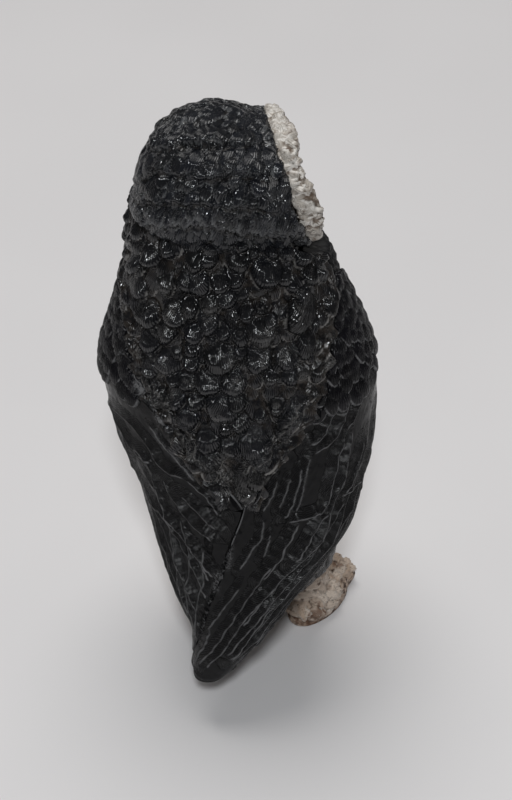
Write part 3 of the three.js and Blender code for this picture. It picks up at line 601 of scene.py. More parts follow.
def back_columns(z):
    """angles and depths across one row of the back: under the left wing, round the free edge of the mantle, over, and back"""
    y0, d = bodyF(z)[1], bodyF(z)[2] - bodyF(z)[1]
    k = math.asin(np.clip((0.65 - y0) / (d if 0.65 >= y0 else max(y0 - bodyF(z)[3], .1)), -1, 1))
    A, B = math.degrees(k), 180 - math.degrees(k)
    open_top = float(smooth(74.2, 77.0, z))
    ap = float(smooth(42.6, 44.2, z)) * (1 - open_top)
    wide = max(open_top, float(smooth(42.4, 39, z)))
    dL = float(ldF(z)[0]) * (1 - wide) + (A + 3) * wide
    dR = float(rdF(z)[0]) * (1 - wide) + (B - 3) * wide
    sc = lambda ph: 2.0 + 1.5 * abs(math.sin(z * 0.82 + ph)) + 0.5 * math.sin(z * 2.3 + ph)
    mid, hw = (dL + dR) / 2, max((dR - dL) / 2, 3.5 + 10.5 * float(smooth(41.5, 50.0, z)))
    eL, eR = max(mid - hw - ap * sc(0.3), A + 1.0), min(mid + hw + ap * sc(1.7), B - 1.0)
    n0, nf, n2 = int(30 * DEN), 5, int(240 * DEN)
    main = np.linspace(eL, eR, n2)
    thick = float(wing_t(1.0, z)) + 0.45
    under = thick * (1 - open_top) + 1.15 * open_top
    edge = ap * (float(woff(z)) - 0.38) + (1 - ap) * (1.15 if z > 43 else under)
    edge = edge * (1 - open_top) + 1.15 * open_top
    w = np.maximum(smooth(7.0, 0.5, main - eL), smooth(7.0, 0.5, eR - main))
    mo = 1.15 * (1 - w) + edge * w
    if z < 42.6:                    # wholly under the wings
        mo = np.full(n2, under)
    lip = edge + 0.34
    inL, inR = mid - hw - 0.3, mid + hw + 0.3
    fL = np.linspace(inL, eL, nf, endpoint=False)
    fR = np.linspace(eR, inR, nf + 1)[1:]
    uL = np.linspace(A, inL, n0, endpoint=False)
    uR = np.linspace(inR, B, n0 + 1)[1:]
    th = np.concatenate([uL, fL, main, fR, uR])
    if ap < 0.02:                   # no free edge on this row: keep the folded columns in order
        fL = np.linspace(min(inL, eL - 0.2), eL, nf, endpoint=False)
        fR = np.linspace(eR, max(inR, eR + 0.2), nf + 1)[1:]
        uL = np.linspace(A, fL[0], n0, endpoint=False)
        uR = np.linspace(fR[-1], B, n0 + 1)[1:]
        th = np.concatenate([uL, fL, main, fR, uR])
        lip = mo[0]
    of = np.concatenate([np.full(n0, under), np.full(nf, lip), mo, np.full(nf, lip), np.full(n0, under)])
    return th, of, n0 + nf, n2, w


def shell_grid(zr, rows):
    z = np.linspace(zr[0], zr[1], rows)
    bt = bodyF(z)
    y0 = bt[:, 1]
    d = y0 - bt[:, 3]
    k = np.where(0.35 <= y0, np.arcsin(np.clip((0.35 - y0) / d, -1, 1)), np.arcsin(np.clip((0.35 - y0) / np.maximum(bt[:, 2] - y0, .1), -1, 1)))
    A, B = 180 - np.degrees(k), 360 + np.degrees(k)
    n = int(250 * DEN)
    return np.array([np.linspace(A[i], B[i], n) for i in range(rows)]), z


DOWN = np.array([0.0, 0.12, -1.0])


def tilt(th, k):
    return DOWN + np.array([-k * math.cos(math.radians(th)), 0, 0])


def build_back():
    rows = int(312 * DEN)
    n1 = int(rows * 0.12)
    z = np.concatenate([np.linspace(8.0, 32, n1, endpoint=False), np.linspace(32, 86.4, rows - n1)])
    cols = [back_columns(q) for q in z]
    TH, OF = np.array([c[0] for c in cols]), np.array([c[1] for c in cols])
    j0, n2 = cols[0][2], cols[0][3]
    Z = np.repeat(z[:, None], TH.shape[1], 1)
    P = body_pt(TH, Z, OF)
    N = grid_normals(P[:, j0:j0 + n2])
    if (N[:, n2 // 2, 1]).mean() < 0:
        N = -N
    R = Relief(P[:, j0:j0 + n2], N)
    nearedge = np.array([c[4] for c in cols]).ravel()
    # rows of smaller scale feathers fill in between the big ones
    zz, k = 87.5, 0
    while zz > 33:
        a = envF(zz)[0]
        dth = math.degrees(3.2 / a)
        th = -12 + rng.random() * dth
        while th < 195:
            p = env(th + rng.normal() * 2.2, zz + rng.normal() * 0.8, 1.15)
            R.feather(p, tilt(th, 0.15) + rng.normal(size=3) * 0.3, 3.0 + 2.2 * rng.random(), 2.0 + 2.0 * rng.random(),
                      0.4 + 0.75 * rng.random(), barb=0.02 + 0.03 * rng.random(), pitch=0.6 + 0.3 * rng.random(), rim=0.45 + 0.2 * rng.random(),
                      dome=0.9, frost=0.35 * (rng.random() < 0.08))
            th += dth
        zz -= 2.3
        k += 1
    for th, zt, w, l in LUMPS:
        if 133 < th and zt < 74 or th < 40 and zt < 74:
            continue
        big = w > 3.6
        R.feather(env(th, zt - 0.3, 1.15), tilt(th, 0.17) + rng.normal(size=3) * 0.2, l * (1.1 + 0.25 * rng.random()), w * (1.1 + 0.2 * rng.random()),
                  1.6 + 0.8 * rng.random() + 0.4 * big, barb=0.015 + 0.03 * rng.random(), pitch=0.6 + 0.25 * rng.random(), rim=0.6 + 0.3 * rng.random(),
                  dome=0.97, frost=0.3 * (rng.random() < 0.15), root=0.2)
    # the striated fan and the dark dome at the point of the mantle
    R.feather(env(106, 48.6, 1.0), tilt(106, 0.1), 7.0, 4.6, 1.45, barb=0.13, pitch=0.75, rim=0.3, dome=0.5, fan=0.12)
    R.feather(env(97, 43.6, 0.9), DOWN, 7.4, 5.0, 2.0, barb=0.03, rim=0.6, dome=0.85, fan=0.2, root=0.35)
    # sandy groove running down from the middle of the mantle
    for zq, tq in zip(np.linspace(52, 33, 22), np.linspace(90, 86, 22)):
        q = env(tq + rng.normal() * 1.5, zq, 1.15)
        I = R.slab(q[2], 3)
        d = np.linalg.norm(R.V[I] - q, axis=1)
        R.frost[I] = np.maximum(R.frost[I], np.exp(-(d / 1.0) ** 2) * 0.55)
        R.H[I] *= 1 - 0.3 * np.exp(-(d / 0.9) ** 2)
    for k in range(26):      # worn sandy patches between the feathers
        q = env(60 + 65 * rng.random(), 46 + 30 * rng.random(), 1.15)
        I = R.slab(q[2], 3)
        d = np.linalg.norm((R.V[I] - q) * [1, 1, 0.7], axis=1)
        R.frost[I] = np.maximum(R.frost[I], np.exp(-(d / (0.5 + 0.4 * rng.random())) ** 2) * 0.45 * (1 - R.edge[I] * 0.4))
    for line, sd in ((SCAP_L, 1), (SCAP_R, -1)):
        for sh, hh, br in ((2.0, 0.35, 0.5), (7.5, 0.25, 0.5)):
            ln = dense([(q[0] + sd * sh, q[1] + 0.6) for q in line])
            R.ridge(env(ln[:, 0], ln[:, 1], 1.15), hh, 1.0, side=sd, line=0.16, wfrost=0.25, bead=0.3, wfr=0.3, bright=br, knot=0.25)
    R.edge = np.maximum(R.edge, smooth(0.86, 0.99, nearedge) * 0.3 * (0.6 + 0.4 * wob(R.V, 1.6, 75)) * smooth(75, 72, R.V[:, 2]))
    R.H *= smooth(41.6, 43.2, R.V[:, 2]) * (1 - 0.45 * nearedge * smooth(78, 74, R.V[:, 2]))
    R.H *= 1 + 0.22 * wob(R.V, 3.0, 71)
    low = smooth(9, 12, R.V[:, 2]) * smooth(41.5, 39, R.V[:, 2])
    flank = np.nonzero((R.V[:, 2] < 41) & (R.V[:, 2] > 9.5))[0]
    keep = R.H.copy()
    for i in flank[rng.permutation(len(flank))[:900]]:
        R.feather(R.V[i], DOWN + rng.normal(size=3) * 0.15, 3.4 + 1.4 * rng.random(), 2.2 + 1.0 * rng.random(), 0.5 + 0.35 * rng.random(),
                  barb=0.03, rim=0.4, dome=0.85, n=R.N[i])
    R.H = np.where(keep > 0.02, keep, R.H * low)
    V = P.copy()
    V[:, j0:j0 + n2] = R.out((0.06 * wob(R.V, 1.5, 5) + 0.012 * wob(R.V, 0.6, 6)) * smooth(41.6, 43.2, R.V[:, 2])).reshape(rows, n2, 3)
    full = grid_normals(P)
    if full[:, P.shape[1] // 2, 1].mean() < 0:
        full = -full
    Pf = P.reshape(-1, 3)
    bumps = (0.28 * np.abs(wob(Pf, 2.6, 93)) + 0.08 * wob(Pf, 1.0, 94)).reshape(P.shape[:2])
    col = np.arange(P.shape[1])
    side = smooth(1, 5, col) * smooth(j0 - 8, j0 - 14, col) + smooth(j0 + n2 + 8, j0 + n2 + 14, col) * smooth(P.shape[1] - 2, P.shape[1] - 6, col)
    V = V + full * (bumps * side[None] * smooth(60, 50, P[..., 2]) * smooth(41, 43, P[..., 2]))[..., None]
    V = socket(V)
    V[:, 0, 1] = V[:, -1, 1] = 0.37
    at = {}
    for key, v in attrs_of(R, 0.7).items():
        full = np.zeros(TH.shape)
        full[:, j0:j0 + n2] = v.reshape(rows, n2)
        at[key] = full.ravel()
    return dloft_mesh("mantle", V, None, at, BLACK, "back_shell")


def build_breast():
    TH, z = shell_grid((8.0, 86.4), int(300 * DEN))
    Z = np.repeat(z[:, None], TH.shape[1], 1)
    P = body_pt(TH, Z)
    N = grid_normals(P)
    if (N[:, N.shape[1] // 2, 1]).mean() > 0:
        N = -N
    P = P - N * 0.35
    R = Relief(P, N)
    zz, k = 87.0, 0
    while zz > 8:
        a = bodyF(zz)[0]
        size = 2.5 + 1.1 * smooth(70, 40, zz)
        dth = math.degrees(size * 0.86 / max(a, 6))
        th = 176 + (k % 2) * dth / 2
        while th < 366:
            p = body_pt(th + rng.normal() * 1.0, zz + rng.normal() * 0.35)
            t = np.array([0.12 * math.cos(math.radians(th)), 0.15 * (zz < 30), -1.0]) + rng.normal(size=3) * 0.1
            R.feather(p, t, size * 1.45, size * (0.95 + 0.3 * rng.random()), 0.75 + 0.25 * rng.random(), barb=0.06, pitch=0.62, rim=0.3, dome=0.75)
            th += dth
        zz -= size * 0.62
        k += 1
    R.H *= smooth(8.0, 11, R.V[:, 2])
    V = socket(R.out(0.05 * wob(R.V, 1.3, 15)).reshape(*TH.shape, 3))
    V[:, 1:-1, 1] = np.minimum(V[:, 1:-1, 1], 0.345)
    V[:, 0, 1] = V[:, -1, 1] = 0.35
    at = attrs_of(R, 0.7)
    # the black of the mantle carries on round the shoulders and flanks
    x, y, zc = R.V[:, 0], R.V[:, 1], R.V[:, 2]
    bt = bodyF(zc)
    side = np.abs(x - spF(np.clip(zc, 40, 92))[:, 0] * smooth(20, 60, zc)) / bt[:, 0]
    sd = side + 0.05 * wob(R.V, 4.0, 91)
    thr = 0.90 - 0.20 * smooth(58, 82, zc + 2.5 * wob(R.V, 5.0, 92))
    at["dark"] = smooth(thr - 0.035, thr + 0.035, sd)
    at["bar"] = np.clip(R.edge * 0.8 + 0.0, 0, 1)
    return dloft_mesh("breast", V, None, at, PALE, "breast_shell")


# ------------------------------------------------------------------ wings
def wing_grid(dF, vF, zr, rows, cols, tip):
    s = np.linspace(0, 1, cols)
    u = np.linspace(0, 1, rows)
    U, Sg = np.meshgrid(u, s, indexing="ij")
    b = np.abs(2 * Sg - 1) ** 2.6
    z0, z1 = zr[0] + tip * b, zr[1] - 2.2 * b
    Z = z0 + (z1 - z0) * U
    d, v = dF(Z)[..., 0], vF(Z)[..., 0]
    TH = d + (v - d) * Sg
    edge = np.minimum(np.minimum(Sg, 1 - Sg), np.minimum(U * 2.2, (1 - U) * 2.2))
    return TH, Z, edge, U, Sg


def dense(line, k=5):
    line = np.array(line, float)
    t = np.linspace(0, len(line) - 1, (len(line) - 1) * k + 1)
    i = np.clip(t.astype(int), 0, len(line) - 2)
    f = (t - i)[:, None]
    pts = line[i] * (1 - f) + line[i + 1] * f
    for _ in range(2 * k):
        pts[1:-1] = 0.25 * pts[:-2] + 0.5 * pts[1:-1] + 0.25 * pts[2:]
    return pts


def build_wing(side):
    right = side == "right"
    dF, vF, zr = (rdF, rvF, (9.5, 74.2)) if right else (ldF, lvF, (13.8, 74.2))
    rows, step = int(345 * DEN), 10
    cols = (int(255 * DEN) // step) * step + 1
    TH, Z, edge, U, Sg = wing_grid(dF, vF, zr, rows, cols, 1.7 if right else 2.2)
    lap = np.zeros_like(TH)
    if not right:      # the part of the left wing that runs under the right one steps down
        rd = rdF(Z)[..., 0]
        lap = smooth(-0.9, 0.0, TH - rd) * smooth(49, 45, Z) * 1.5
    low = smooth(16, 11, Z) * 0.5
    off = woff(Z) - (0.4 if right else 0.85) * np.exp(-((Z - 59) / 6.0) ** 2) + 0.3 * (1 - smooth(0, 0.03, edge)) + lap + low * right * 0.4
    P = env(TH, Z, off)
    N = grid_normals(P)
    C = P.mean((0, 1)) * [0, 0, 1] + np.array([0, 4, 0])
    if ((P - C) * N).sum(-1).mean() < 0:
        N = -N
    R = Relief(P, N)
    up = -1 if right else 1                        # the side of a downward line that faces the back
    arc = np.abs(vF(Z)[..., 0] - dF(Z)[..., 0]) * np.pi / 180 * envF(Z)[..., 0]
    L3 = lambda line: env([q[0] for q in line], [q[1] for q in line], woff(np.array([q[1] for q in line])))
    # ordered flight feathers: smooth planks whose edges run from the shoulder to the tip
    qs = (0.50, 0.62, 0.72, 0.80, 0.87, 0.935) if right else (0.45, 0.6, 0.72, 0.82, 0.9)
    for q in qs:
        zz = np.linspace(60 - 26 * (1 - q), zr[0] + 4 + 9 * abs(q - 0.7), 40)
        d, v = dF(zz)[:, 0], vF(zz)[:, 0]
        th = d + (v - d) * q
        R.ridge(L3(np.stack([th + 1.2 * np.sin(zz * 0.45 + q * 9), zz], 1)), 0.34, 1.5, side=up, lip=0.04, bright=0.55, line=0.17, fade=3.0)
    for q, zt in ((0.14, 30), (0.27, 34), (0.39, 30)) if right else ((0.2, 36), (0.33, 40)):
        zz = np.linspace(zt, zr[0] + 2.5, 30)
        d, v = dF(zz)[:, 0], vF(zz)[:, 0]
        R.ridge(L3(np.stack([d + (v - d) * q + 1.5 * np.sin(zz * 0.4 + q * 20), zz], 1)), 0.3, 1.4, side=up, lip=0.05, bright=0.5, line=0.16, fade=3.0)
    for ln in (RIGHT_LINES if right else LEFT_LINES):
        ln = dense(ln)
        if ln[0][1] < ln[-1][1]:
            ln = ln[::-1]
        R.ridge(L3(ln), 0.40, 2.2, side=up, lip=0.08, bright=0.8, fade=2.2, line=0.18)
    base = R.H.copy()
    # coverts over the shoulder, smaller toward the top
    zz, k = 73.6, 0
    sgn = 1 if right else -1
    while zz > 52:
        a = envF(zz)[0]
        d, v = float(dF(zz)[0]), float(vF(zz)[0])
        dth = math.degrees(2.9 / a) * sgn
        th = d + (k % 2) * dth / 2
        while (th - v) * sgn < 0:
            f = (th - d) / (v - d)
            if zz > 55 + 9 * abs(f - 0.25) + rng.normal() * 0.8:
                p = env(th + rng.normal() * 0.8, zz + rng.normal() * 0.4, 0.55)
                R.feather(p, DOWN + rng.normal(size=3) * 0.09, 3.9 + 1.2 * rng.random(), 2.7 + 0.9 * rng.random(),
                          0.62 + 0.3 * rng.random(), barb=0.035, pitch=0.62, rim=0.25, dome=0.75)
            th += dth
        zz -= 2.1
        k += 1
    for th, zt, w, l in LUMPS:
        if (right and th > 131 and zt < 74) or (not right and th < 50 and zt < 74):
            R.feather(env(th, zt - 0.3, 0.55), DOWN + rng.normal(size=3) * 0.07, l * 1.15, w * 1.1, 1.1, barb=0.04, rim=0.35, dome=0.85, root=0.25)
    if right:
        R.feather(env(106, 48.6, 0.6), tilt(106, 0.1), 7.0, 4.6, 1.0, barb=0.13, pitch=0.75, rim=0.3, dome=0.5, fan=0.12)
        R.feather(env(97, 43.6, 0.6), DOWN, 7.4, 5.0, 1.5, barb=0.03, rim=0.6, dome=0.85, fan=0.2, root=0.35)
        for ln in [SCAP_R] + FROST_R:
            R.ridge(L3(dense(ln)), 0.3, 1.3, side=up, line=0.13, wfrost=0.45, bead=0.16, wfr=0.2, knot=0.1, bright=0.6)
        pts = [(87, 41.5), (86.5, 39), (86, 36), (85, 33)]
        spots = [(q[0], q[1], 0.55, 0.5) for q in dense(pts, 4)] + [(78.5, 28.6, 0.5, 0.8)]
    else:
        R.ridge(L3(dense(SCAP_L) - [1.0, 0]), 0.34, 1.5, side=up, line=0.2, wfrost=0.95, bead=0.24, wfr=0.5, knot=0.2)
        R.ridge(L3(dense([(56, 54.6), (61, 52.6), (66, 50.8), (71, 49.0), (76, 47.0)])), 0.25, 1.2, side=up, line=0.18, wfrost=0.6, bead=0.18, wfr=0.4)
        spots = [(80, 29.5, 0.7, 1.0), (78, 28.2, 0.6, 0.9), (79, 31, 0.5, 0.8)]
    for th, zq, r, f in spots:
        q = env(th, zq, woff(zq))
        I = R.slab(q[2], 4)
        d = np.linalg.norm((R.V[I] - q) * [1, 1, 0.7], axis=1)
        R.frost[I] = np.maximum(R.frost[I], np.exp(-(d / r) ** 2) * f)
        R.H[I] += 0.08 * np.exp(-(d / r) ** 2) * (0.5 + 0.5 * wob(R.V[I], 0.7, 61))
    deg = np.abs(TH - dF(Z)[..., 0])
    R.H *= 1 - (smooth(4.6, 3.0, deg) * smooth(42.3, 43.6, Z)).ravel() * 0.93
    R.H = 1.1 * np.tanh(R.H / 1.1)
    R.H *= 0.3 + 0.7 * smooth(0, 0.02, edge).ravel()
    low = smooth(52, 44, Z).ravel()
    rim = np.exp(-((Sg * arc).ravel() / 0.22) ** 2) * low + np.exp(-(((1 - Sg) * arc).ravel() / 0.3) ** 2) * 0.8
    R.edge = np.maximum(R.edge, rim * 0.8 * (0.7 + 0.3 * wob(R.V, 3.0, 62)))
    R.edge = np.maximum(R.edge, np.exp(-(U.ravel() * 62 / 0.3) ** 2) * 0.5)
    V = R.out(0.035 * wob(R.V, 1.7, 25 + right) + 0.015 * wob(R.V, 0.6, 27)).reshape(rows, cols, 3)
    inner = env(TH[:, ::step], Z[:, ::step], np.minimum(wing_t(edge[:, ::step], Z[:, ::step]) * (0.75 if right else 1) + lap[:, ::step] * 0.6 + 0.2, 3.0))
    at = attrs_of(R, 0.8)
    at["recess_and_shade"] = np.clip(at["recess_and_shade"] * 0.5 * smooth(48, 56, R.V[:, 2]), 0, 1)
    return sheet_mesh(side + "_wing_feathers", V, inner, step, at, WINGM, side + "_wing")


# ------------------------------------------------------------------ tail
def build_tail():
    rows, seg = int(150 * DEN), int(150 * DEN)
    z = np.linspace(9.8, 37, rows)
    tt = tailF(z)
    x0 = spF(z)[:, 0]
    th = np.linspace(0, 2 * math.pi, seg, endpoint=False)
    c, s = np.cos(th), np.sin(th)
    e = 2 / 2.4
    X = x0[:, None] + tt[:, :1] * np.sign(c) * np.abs(c) ** e
    Y = (tt[:, 1:2] + tt[:, 2:3]) / 2 + (tt[:, 1:2] - tt[:, 2:3]) / 2 * np.sign(s) * np.abs(s) ** e
    k = np.sqrt(np.clip(1 - (1 - (z - 9.8) / 1.8).clip(0, 1) ** 2, 0.04, 1))[:, None]
    Y = Y - 1.35 * smooth(17, 12, z)[:, None]
    X = x0[:, None] + (X - x0[:, None]) * (0.35 + 0.65 * k)
    P = np.stack([X, Y, np.repeat(z[:, None], seg, 1)], -1)
    N = grid_normals(P, True)
    if ((P - P.mean(1, keepdims=True)) * N).sum(-1).mean() < 0:
        N = -N
    R = Relief(P, N)
    for q in (-0.72, -0.42, -0.12, 0.18, 0.48, 0.78):
        zz = np.linspace(34, 10.6 + 2.2 * abs(q), 24)
        t2 = tailF(zz)
        xx = spF(zz)[:, 0] + q * t2[:, 0]
        for sgn in (1, -1):
            yy = (t2[:, 1] + t2[:, 2]) / 2 + sgn * (t2[:, 1] - t2[:, 2]) / 2 * np.sqrt(np.clip(1 - abs(q) ** 2.4, 0, 1)) ** (1 / 1.2)
            yy = yy - 1.35 * smooth(17, 12, zz)
            R.ridge(np.stack([xx, yy, zz], 1), 0.32, 1.8, side=1 if q < 0 else -1, line=0.22, lip=0.06)
    R.edge = np.maximum(R.edge, 0.6 * np.exp(-((R.V[:, 2] - 9.3) / 0.5) ** 2))
    V = R.out(0.03 * wob(R.V, 1.6, 35))
    m = rows * seg
    f = [list(map(int, q)) for q in quads(rows, seg, True)]
    V = np.concatenate([V, [P[0].mean(0) - [0, 0, 0.1], P[-1].mean(0)]])
    for j in range(seg):
        f.append([(j + 1) % seg, j, m])
        f.append([(rows - 1) * seg + j, (rows - 1) * seg + (j + 1) % seg, m + 1])
    at = attrs_of(R, 0.8)
    at["recess_and_shade"] = at["recess_and_shade"] * 0.5
    return finish_mesh("tail_feathers", V, f, at, WINGM, "tail")


# ------------------------------------------------------------------ head
HC = np.array([2.54, -0.28, 88.36])
turn, pitch = math.radians(71), math.radians(15.8)
FN = np.array([-math.sin(turn) * math.cos(pitch), -math.cos(turn) * math.cos(pitch), math.sin(pitch)])
FT = np.array([math.cos(turn), -math.sin(turn), 0.0])
FU = np.cross(FT, FN)
FU *= np.sign(FU[2])
DROP = -2.3
headF = pchip([(-11.9, 0.0, 0.0, 0), (-11.4, 3.2, 3.8, 0), (-10.2, 6.2, 7.8, 0.1), (-8, 8.9, 10.5, -0.1), (-5, 10.8, 12.5, 0),
               (-1.5, 12.0, 13.5, 0), (2, 12.4, 13.35, -0.15), (6, 12.5, 12.3, -0.97), (9, 12.0, 10.9, -2.1), (10.7, 11.4, 10.05, -2.6)])
napeF = pchip([(85.4, 4.5, 11.5, 11.3, -9.5), (87, 4.4, 11.5, 12.1, -9.8), (89, 4.2, 11.0, 12.3, -9.8), (91.5, 3.8, 10.4, 11.8, -9.5),
               (94, 3.4, 10.1, 11.0, -8.6), (96, 2.9, 9.0, 9.4, -7.0)])


def face_pt(s, t, u, drop=DROP):
    s, t, u = np.broadcast_arrays(np.asarray(s, float), np.asarray(t, float), np.asarray(u, float))
    P = HC + s[..., None] * FN + t[..., None] * FT + u[..., None] * FU
    P[..., 2] += drop
    return P


def in_head(P):
    d = P - HC
    s = d @ FN
    h = headF(s)
    d = d - np.stack([np.zeros_like(s), np.zeros_like(s), h[..., 2]], -1)
    t, u = d @ FT, d @ FU
    ok = (s > -11.9) & (s < 10.7)
    v = (t / np.maximum(h[..., 0], 1e-3)) ** 2 + (u / np.maximum(h[..., 1], 1e-3)) ** 2 < 1
    r = np.hypot(t / 10.5, u / 9.6)
    v &= ~((s > 9.1) & (r < 1))
    return ok & v


def in_nape(P):
    z = P[..., 2]
    n = napeF(z)
    yb, yf = n[..., 2], n[..., 3]
    v = ((P[..., 0] - n[..., 0]) / n[..., 1]) ** 2 + ((P[..., 1] - (yb + yf) / 2) / ((yb - yf) / 2)) ** 2 < 1
    return v & (z > 85.4) & (z < 96.5)


def radial(dirs, org, test, rmax=22.0):
    lo, hi = np.zeros(len(dirs)), np.full(len(dirs), rmax)
    for _ in range(26):
        m = (lo + hi) / 2
        ins = test(org + dirs * m[:, None])
        lo, hi = np.where(ins, m, lo), np.where(ins, hi, m)
    return lo


def build_head():
    bm = bmesh.new()
    bmesh.ops.create_icosphere(bm, subdivisions=7, radius=1.0)
    bm.verts.ensure_lookup_table()
    dirs = np.array([v.co[:] for v in bm.verts])
    faces = np.array([[v.index for v in f.verts] for f in bm.faces])
    bm.free()
    org = HC + np.array([0.3, 0.5, 0.4])
    r1 = radial(dirs, org, in_head)
    # the nape is only reached sideways and backward, so it is measured from inside its own height band
    r2 = radial(dirs, org, in_nape)
    r = np.maximum(r1, r2)
    V = org + dirs * r[:, None]
    # even out the joint between the two forms
    nb = np.zeros_like(V)
    cnt = np.zeros(len(V))
    E = np.concatenate([faces[:, [0, 1]], faces[:, [1, 2]], faces[:, [2, 0]]])
    front = ((V - HC) @ FN > 8.0)
    for it in range(14):
        nb[:] = 0
        for c in range(3):
            nb[:, c] = np.bincount(E[:, 0], V[E[:, 1], c], len(V)) + np.bincount(E[:, 1], V[E[:, 0], c], len(V))
        if it == 0:
            cnt = np.bincount(E[:, 0], minlength=len(V)) + np.bincount(E[:, 1], minlength=len(V))
        A = nb / cnt[:, None]
        V = np.where(front[:, None], V, V * 0.5 + A * 0.5)
    fn = np.cross(V[faces[:, 1]] - V[faces[:, 0]], V[faces[:, 2]] - V[faces[:, 0]])
    N = np.zeros_like(V)
    for k in range(3):
        for c in range(3):
            N[:, c] += np.bincount(faces[:, k], fn[:, c], len(V))
    N /= np.linalg.norm(N, axis=1, keepdims=True)
    d = V - HC
    az = np.degrees(np.arctan2(d[:, 1], d[:, 0]))
    az = np.where(az < -100, az + 360, az)
    el = np.degrees(np.arctan2(d[:, 2], np.hypot(d[:, 0], d[:, 1])))
    T = [[(0, 42), (40, 47), (59, 58), (86, 63), (116, 62), (140, 56), (175, 48)],
         [(0, 4), (24, 15), (46, 36), (73, 40), (87, 39), (114, 43), (141, 34), (160, 16)],
         [(0, -6), (45, 13), (72, 24), (92, 24), (109, 22), (126, 18), (160, 0)],
         [(-20, -16), (23, -12), (61, 2), (81, 7), (95, 6), (109, 3), (122, -2), (138, -6), (161, -12)]]
    T = [np.interp(az, [q[0] for q in t], [q[1] for q in t]) + 1.3 * wob(V, 5.0, 70 + i) + 1.5 * wob(V, 2.2, 170 + i) for i, t in enumerate(T)]
    tops = [T[0] + 32] + T[:3]
    saw, crease = np.zeros(len(V)), np.zeros(len(V))
    for i, (hi, lo) in enumerate(zip(tops, T)):
        f = (hi - el) / np.maximum(hi - lo, 3)
        m = (f > 0) & (f <= 1.12)
        v = np.where(f < 1, np.clip(f, 0, 1) ** 1.3, np.clip((1.12 - f) / 0.12, 0, 1)) * (0.5, 0.7, 0.6, 0.35)[i]
        saw = np.where(m, np.maximum(saw, v), saw)
        crease = np.maximum(crease, np.exp(-((el - lo + 3.2) / 2.2) ** 2))
    saw *= 0.55 + 0.45 * smooth(20, 60, az)
    back = smooth(-15, 10, az) * smooth(178, 160, az) * smooth(8.5, 6.5, d @ FN)
    saw, crease = saw * back, crease * back
    V = V - N * (0.62 * smooth(10.6, 8.8, (V - HC) @ FN) - saw)[:, None]
    V = V - FN * ((0.45 + 0.55 * wob(V, 2.6, 171)) * smooth(9.2, 10.2, (V - HC) @ FN) * smooth(8.6, 10.0, np.hypot((V - HC) @ FT, (V - HC) @ FU)))[:, None]
    R = Relief(V, N)

    def at(az, el):
        a, e = math.radians(az), math.radians(el)
        d = np.array([math.cos(e) * math.cos(a), math.cos(e) * math.sin(a), math.sin(e)])
        return d, int(np.argmax(dirs @ d))

    def flow(p, n):
        t = np.array([0.0, 0.10, -1.0]) - FN * 0.35
        back = p - HC
        if back[2] > 8:
            t = t + np.array([0.1, 0.9, 0]) - FN * 0.3
        t = t - n * (t @ n)
        return t / (np.linalg.norm(t) + 1e-9)
    # short bristly feathers all over, then the heavier rows
    N0 = 760
    gold = math.pi * (3 - math.sqrt(5))
    idx = np.arange(N0)
    zz = 1 - 2 * (idx + 0.5) / N0
    rr = np.sqrt(1 - zz * zz)
    fd = np.stack([rr * np.cos(idx * gold), rr * np.sin(idx * gold), zz], 1)
    for d in fd:
        i = int(np.argmax(dirs @ d))
        p, n = V[i], N[i]
        sface = (p - HC) @ FN
        if sface > 9.8 or p[2] < 82:
            continue
        t = flow(p, n) + rng.normal(size=3) * 0.25
        R.feather(p, t, 3.0 + 1.8 * rng.random(), 1.3 + 1.2 * rng.random(), 0.4 + 0.5 * rng.random(), kind=1, barb=0.02, rim=0.35, n=n, fan=0.5, dome=0.95)
    rows = [(-170, 62, 46, 185, 0.62, 2.0, 3.2, 0.25), (0, 0, 0, 0, 0, 0, 0, 0)]

    def row(pts, L, W, h, gap, frost=0.2, jit=0.25, kind=1, barb=0.05, rep=1):
        pts = np.array(pts, float)
        D = []
        for k in range(len(pts) - 1):
            for f in np.linspace(0, 1, 30, endpoint=False):
                q = pts[k] * (1 - f) + pts[k + 1] * f
                d, i = at(q[0], q[1])
                D.append(V[i])
        D = np.array(D)
        cum = np.concatenate([[0], np.cumsum(np.linalg.norm(np.diff(D, axis=0), axis=1))])
        for rpt in range(rep):
            sdist = gap * rng.random()
            while sdist < cum[-1]:
                p = np.array([np.interp(sdist, cum, D[:, c]) for c in range(3)])
                i = R.near(p)
                n = N[i]
                t = flow(p, n) + rng.normal(size=3) * 0.12
                j = p + t * rng.normal() * jit
                R.feather(j, t, L * (0.85 + 0.3 * rng.random()), W * (0.8 + 0.4 * rng.random()), h * (0.75 + 0.5 * rng.random()), kind=kind, barb=barb,
                          pitch=0.6, rim=0.4, n=n, frost=frost * (rng.random() < 0.25), dome=0.85)
                sdist += gap * (0.75 + 0.5 * rng.random())
    row([(20, 40), (40, 46), (59, 58), (86, 63), (116, 62), (140, 56), (160, 50)], 3.8, 2.0, 1.25, 1.2, 0.35)
    row([(14, 24), (40, 30), (60, 44), (90, 52), (120, 52), (145, 42)], 3.8, 2.2, 1.15, 1.4, 0.2, jit=0.7)
    row([(10, 8), (24, 15), (46, 36), (73, 39), (87, 38), (114, 42), (141, 33), (152, 20)], 4.8, 2.6, 1.85, 1.6, 0.4, jit=0.8)
    row([(8, 0), (45, 11), (72, 27), (92, 28), (109, 25), (126, 26), (142, 15)], 4.6, 2.7, 1.75, 1.7, 0.35, jit=0.9)
    row([(0, -8), (30, 0), (61, 14), (90, 17), (118, 14), (140, 6)], 4.4, 2.0, 1.5, 1.4, 0.25, jit=0.9)
    row([(-12, -14), (23, -12), (50, -3), (61, 0), (81, 5), (95, 4), (109, 1), (122, -4), (138, -8), (150, -12)], 5.0, 1.15, 1.3, 0.62, 0.12, kind=1, barb=0.0, rep=2, jit=0.6)
